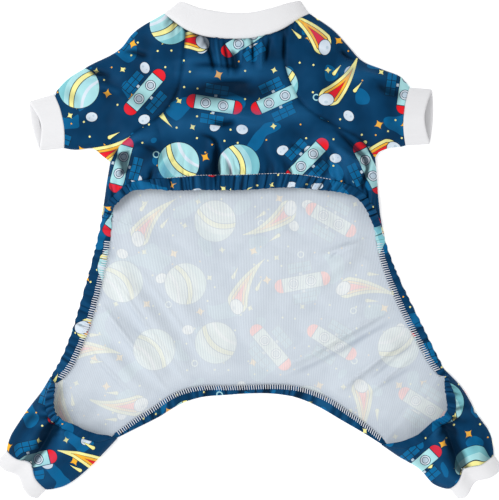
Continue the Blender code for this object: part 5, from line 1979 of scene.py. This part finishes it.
@dataclass
class HindLeg(RibBand):
    """A hind leg with its gathered mouth casing and its crumpled rib cuff."""

    side: Side = Side.LEFT
    cloth_wall: float = 0.0009
    leg_rows: int = 64
    across: int = 92
    valley: float = 0.0058
    # The ring is a little wider than the flat cuff of the solids, because it is stretched over the leg
    ring_width: float = 0.0460

    @property
    def ring_middle(self) -> float:
        """The share across the leg's end at which the ring's middle lies."""
        return 0.5 if self.side is Side.LEFT else 0.462

    @property
    def notch(self) -> float:
        """The share across the cuff at which it is pinched."""
        return 0.463 if self.side is Side.LEFT else 0.559

    def build(self) -> list[Object]:
        """Builds the leg, the casing and the cuff."""
        leg, lip_line, columns = self.leg()
        casing = self.casing(lip_line, columns)
        return [leg, casing, self.cuff()]

    def layer(self, points: Array, layer: Layer, wall: float, detail: bool = True) -> Array:
        """Lifts points of the leg to their layer, high at the mouth and lower at the cuff.

        Args:
            points: A grid of X and Y.
            layer: Which layer.
            wall: The thickness of the cloth.
            detail: False for no small folds.

        Returns:
            The grid with its heights.
        """
        side = self.plan.sides[self.side]
        sizes = self.plan.sizes
        flat = points.reshape(-1, 2)
        distance = Segments([side.leg_outer, side.leg_inner]).distance(flat)
        start = side.mouth.at(0.5)
        way = (side.leg_outer.at(1.0) + side.leg_inner.at(1.0)) / 2 - start
        share = np.clip(((flat - start) @ way) / (way @ way), 0, 1)
        loft = sizes.leg_loft + (sizes.leg_cuff_loft - sizes.leg_loft) * smooth_step(share)
        height = lifted(distance, loft, wall, layer)
        folds = np.zeros(len(flat))
        if layer is Layer.NEAR:
            size = np.linalg.norm(way)
            across = (flat - start) @ left_of(way) / size
            waves = np.cos(2 * math.pi * across / (1.6 * sizes.gather_pitch))
            fade = smooth_step(distance / (0.5 * sizes.ease)) * (1 - 0.75 * smooth_step(share))
            height += 0.08 * sizes.leg_loft * waves * fade
            if detail:
                folds += self.crumples(flat, share) * smooth_step(distance / 0.007)
        return with_relief(flat, height, folds, points.shape[:-1])

    def crumples(self, flat: Array, share: Array) -> Array:
        """The valley from the casing's corner to the cuff's notch, and the small folds round the corner.

        Args:
            flat: Rows of X and Y.
            share: How far each lies from the mouth towards the cuff.

        Returns:
            The height that they add at each point.
        """
        side = self.plan.sides[self.side]
        corner = side.lip.at(0.40)
        outer = side.leg_outer.at(1.0)
        notch = outer + (side.leg_inner.at(1.0) - outer) * self.notch
        way = notch - corner
        size = np.linalg.norm(way)
        off = flat - corner
        lean = (off @ left_of(way)) / size * side.sign
        along = np.clip((off @ way) / size ** 2, -0.3, 1.2)
        lean = lean + 0.0022 * np.sin(2.6 * along)
        start = smooth_step((along + 0.10) / 0.25)
        height = -self.valley * (0.55 * bell(lean, 0.0024) + 0.60 * bell(lean, 0.0078)) * start
        height += 0.0014 * (bell(lean - 0.0125, 0.006) + bell(lean + 0.0115, 0.006)) * start
        reach = np.linalg.norm(off, axis=1)
        turn = np.arctan2(off[:, 1], off[:, 0])
        height += 0.0011 * np.sin(9.0 * turn + 60.0 * reach) * bell(reach - 0.012, 0.011)
        casing_side = smooth_step((0.0 - lean) / 0.006)
        outer_rim = Segments([side.lip.part(0.02, 0.42)]).distance(flat)
        rim_way = corner - side.lip.at(0.02)
        slide = (flat @ rim_way) / np.linalg.norm(rim_way)
        wobble = self.surface.broad.at(flat)
        height += 0.0010 * np.sin(2 * math.pi * slide / 0.0062 + 2.5 * wobble) * bell(outer_rim, 0.012)
        height += 0.0012 * (casing_side - 0.5) * start
        return height + 0.0008 * wobble + 0.0002 * self.surface.fine.at(flat)

    def ring_row(self, across: Array, layer: Layer, wall: float, share: float | Array) -> Array:
        """A row of the ring where the leg is gathered into its cuff, or of the cuff beyond it."""
        side = self.plan.sides[self.side]
        sizes = self.plan.sizes
        outer = side.leg_outer.at(1.0)
        inner = side.leg_inner.at(1.0)
        way = inner - outer
        width = np.linalg.norm(way)
        out = left_of(way) / width * side.sign
        size = min(1.0, self.ring_width / width)
        row = outer + np.outer(self.ring_middle + (across - 0.5) * size, way)
        row = row + np.outer(np.broadcast_to(share, across.shape), out) * sizes.leg_cuff
        distance = self.ring_width * np.minimum(across, 1 - across)
        height = lifted(distance, np.full(len(across), sizes.leg_cuff_loft), wall, layer)
        return np.column_stack([row, height])

    def pinched(self, across: Array) -> Array:
        """How much of the cuff's pinch reaches each place across it."""
        return bell(across - self.notch, 0.19)

    def leg(self) -> tuple[Object, Array, Array]:
        """The leg's tube, and the line and columns of its near edge."""
        plan = self.plan
        side = plan.sides[self.side]
        steps = shares(self.leg_rows)
        outer = side.leg_outer.at(steps)
        inner = side.leg_inner.at(steps)
        across = spread(self.across, 0.6)
        lip = plan.lip_seam(side).at(across)
        lip[0] = outer[0]
        lip[-1] = inner[0]
        end = outer[-1] + np.outer(across, inner[-1] - outer[-1])
        near_grid = filled(lip, end, outer, inner, reach=1.0)
        far_grid = filled(side.mouth.at(across), end, outer, inner, reach=1.0)
        near = self.layer(near_grid, Layer.NEAR, self.cloth_wall)
        far = self.layer(far_grid, Layer.FAR, self.cloth_wall)
        pinch = (0.42 * plan.sizes.leg_cuff_loft * self.pinched(across))
        tail_near = self.ring_row(across, Layer.NEAR, self.cloth_wall, 0.10 - 0.52 * self.pinched(across))
        tail_far = self.ring_row(across, Layer.FAR, self.cloth_wall, 0.10)
        tail_near[:, 2] -= pinch * 0.6
        near = self.blended(near, tail_near)
        far = self.blended(far, tail_far)
        rows = np.concatenate([near, far[:, ::-1][:, 1:]], axis=1)
        turned = past_fold(far_grid, inner)[:, ::-1][:, 1:]
        flat = np.concatenate([near_grid, turned], axis=1)
        name = f"leg_cloth_{self.side.word}"
        piece = cloth(name, rows, flat + (0.9 + 0.2 * side.sign, 0.146), self.cloth_wall, self.both_faces,
                      Slot.PRINT, f"leg_{self.side.word}", flip=self.side is Side.LEFT)
        return piece, near[0, :, :3], across

    def blended(self, rows: Array, tail: Array) -> Array:
        """Draws the last rows of the leg in to the ring where its cuff is sewn on."""
        share = smooth_step((np.linspace(0, 1, len(rows)) - 0.82) / 0.18)[:, None, None]
        place = rows[..., :3] * (1 - share) + tail[None] * share
        return np.concatenate([place, rows[..., 3:]], axis=-1)

    def casing(self, seam_line: Array, columns: Array) -> Object:
        """The gathered elastic casing along the near edge of the leg's mouth."""
        side = self.plan.sides[self.side]
        steps = 260
        index = np.linspace(0, len(seam_line) - 1, steps + 1)
        seam = resampled(seam_line, index)
        share = np.interp(index, range(len(columns)), columns)
        edge = self.layer(side.lip.at(share), Layer.NEAR, self.cloth_wall, detail=False)[..., :3]
        inset = slice(3, -3)
        band = Casing(f"leg_casing_{self.side.word}", seam[inset], edge[inset], 0.0026, pleat=0.0009,
                      pleat_pitch=0.0056, scallop=0.03, seed=51 + int(side.sign),
                      fullness=((0.0, 0.8), (0.25, 1.0), (0.42, 0.9), (0.56, 0.16), (1.0, 0.12)))
        return band.piece(self.finishes.printed, (0.33, 0.671), f"leg_hem_{self.side.word}")

    def cuff(self) -> Object:
        """The rib cuff, pinched to two lobes on its near side."""
        across = spread(self.columns // 2, 0.8)
        pinch = self.pinched(across)
        near_rows = []
        far_rows = []
        for step in shares(self.steps):
            share = 0.02 + step * 0.98
            corners = bell(across, 0.06) + bell(1 - across, 0.06)
            drawn_in = share - (0.56 - 0.18 * step) * pinch - 0.16 * step ** 2 * corners
            near = self.ring_row(across, Layer.NEAR, self.wall, drawn_in)
            rim = share - 0.16 * step ** 2 * corners - 0.33 * step ** 2 * pinch
            far = self.ring_row(across, Layer.FAR, self.wall, rim)
            near[:, 2] -= (0.0014 + 0.0016 * pinch) * (1 - smooth_step(step * 4))
            deep = 0.42 * self.plan.sizes.leg_cuff_loft * pinch
            near[:, 2] -= deep * (0.6 + 0.4 * smooth_step(step * 1.6))
            near_rows.append(near)
            far_rows.append(far)
        name = f"leg_cuff_rib_{self.side.word}"
        return self.ring(name, f"leg_cuff_{self.side.word}", np.array(near_rows), np.array(far_rows),
                         (0.084, 0.032), flip=self.side is Side.LEFT)


@dataclass
class Studio:
    """The camera straight above, soft light all round, and white paper under the suit."""

    height: float = 2.2
    frame_width: float = 0.425
    middle: tuple[float, float] = (0.0009, 0.0006)
    floor_size: float = 6.0

    def build(self) -> None:
        """Builds the camera, the lights and the floor."""
        self.camera()
        self.floor()
        self.lights()

    def camera(self) -> None:
        """A long lens that takes in the photograph's frame."""
        data = bpy.data.cameras.new("camera")
        data.sensor_width = 36.0
        data.lens = data.sensor_width * self.height / self.frame_width
        data.clip_end = 50.0
        camera = in_scene("camera", data)
        camera.location = (*self.middle, self.height)
        bpy.context.scene.camera = camera

    def floor(self) -> None:
        """The paper that the suit lies on."""
        shape = bmesh.new()
        bmesh.ops.create_grid(shape, x_segments=4, y_segments=4, size=self.floor_size / 2)
        data = meshed("floor", shape)
        data.materials.append(Paper().made())
        in_scene("floor", data)

    def lights(self) -> None:
        """A large soft box from the left, a weaker one from below, and white surroundings."""
        for name, power, size, place in (
                ("key", 30.0, 1.1, (-1.35, 0.40, 1.9)),
                ("fill", 13.0, 1.4, (0.6, -1.8, 1.4))):
            data = bpy.data.lights.new(name, "AREA")
            data.energy = power
            data.size = size
            lamp = in_scene(name, data)
            lamp.location = place
            lamp.rotation_euler = (-Vector(place)).to_track_quat("-Z", "Y").to_euler()
        world = bpy.data.worlds.new("surroundings")
        world.use_nodes = True
        world.node_tree.nodes["Background"].inputs["Color"].default_value = (1.0, 1.0, 1.0, 1.0)
        world.node_tree.nodes["Background"].inputs["Strength"].default_value = 0.60
        bpy.context.scene.world = world
        bpy.context.scene.view_settings.view_transform = "Standard"


def main() -> None:
    """Builds the studio, the finishes and every sub-assembly in order."""
    logging.basicConfig(level=logging.INFO, format="%(name)s: %(message)s")
    Studio().build()
    plan = Plan(SIZES)
    surface = ClothSurface(plan)
    finishes = Wardrobe.made()
    shared = {"plan": plan, "surface": surface, "finishes": finishes}
    parts = [Chest(**shared), Back(**shared), Collar(**shared)]
    for side in Side:
        parts.append(Sleeve(**shared, side=side))
        parts.append(HindLeg(**shared, side=side))
    for part in parts:
        for piece in part.build():
            log.info("%s is in place", piece.name)


if __name__ == "__main__":
    main()
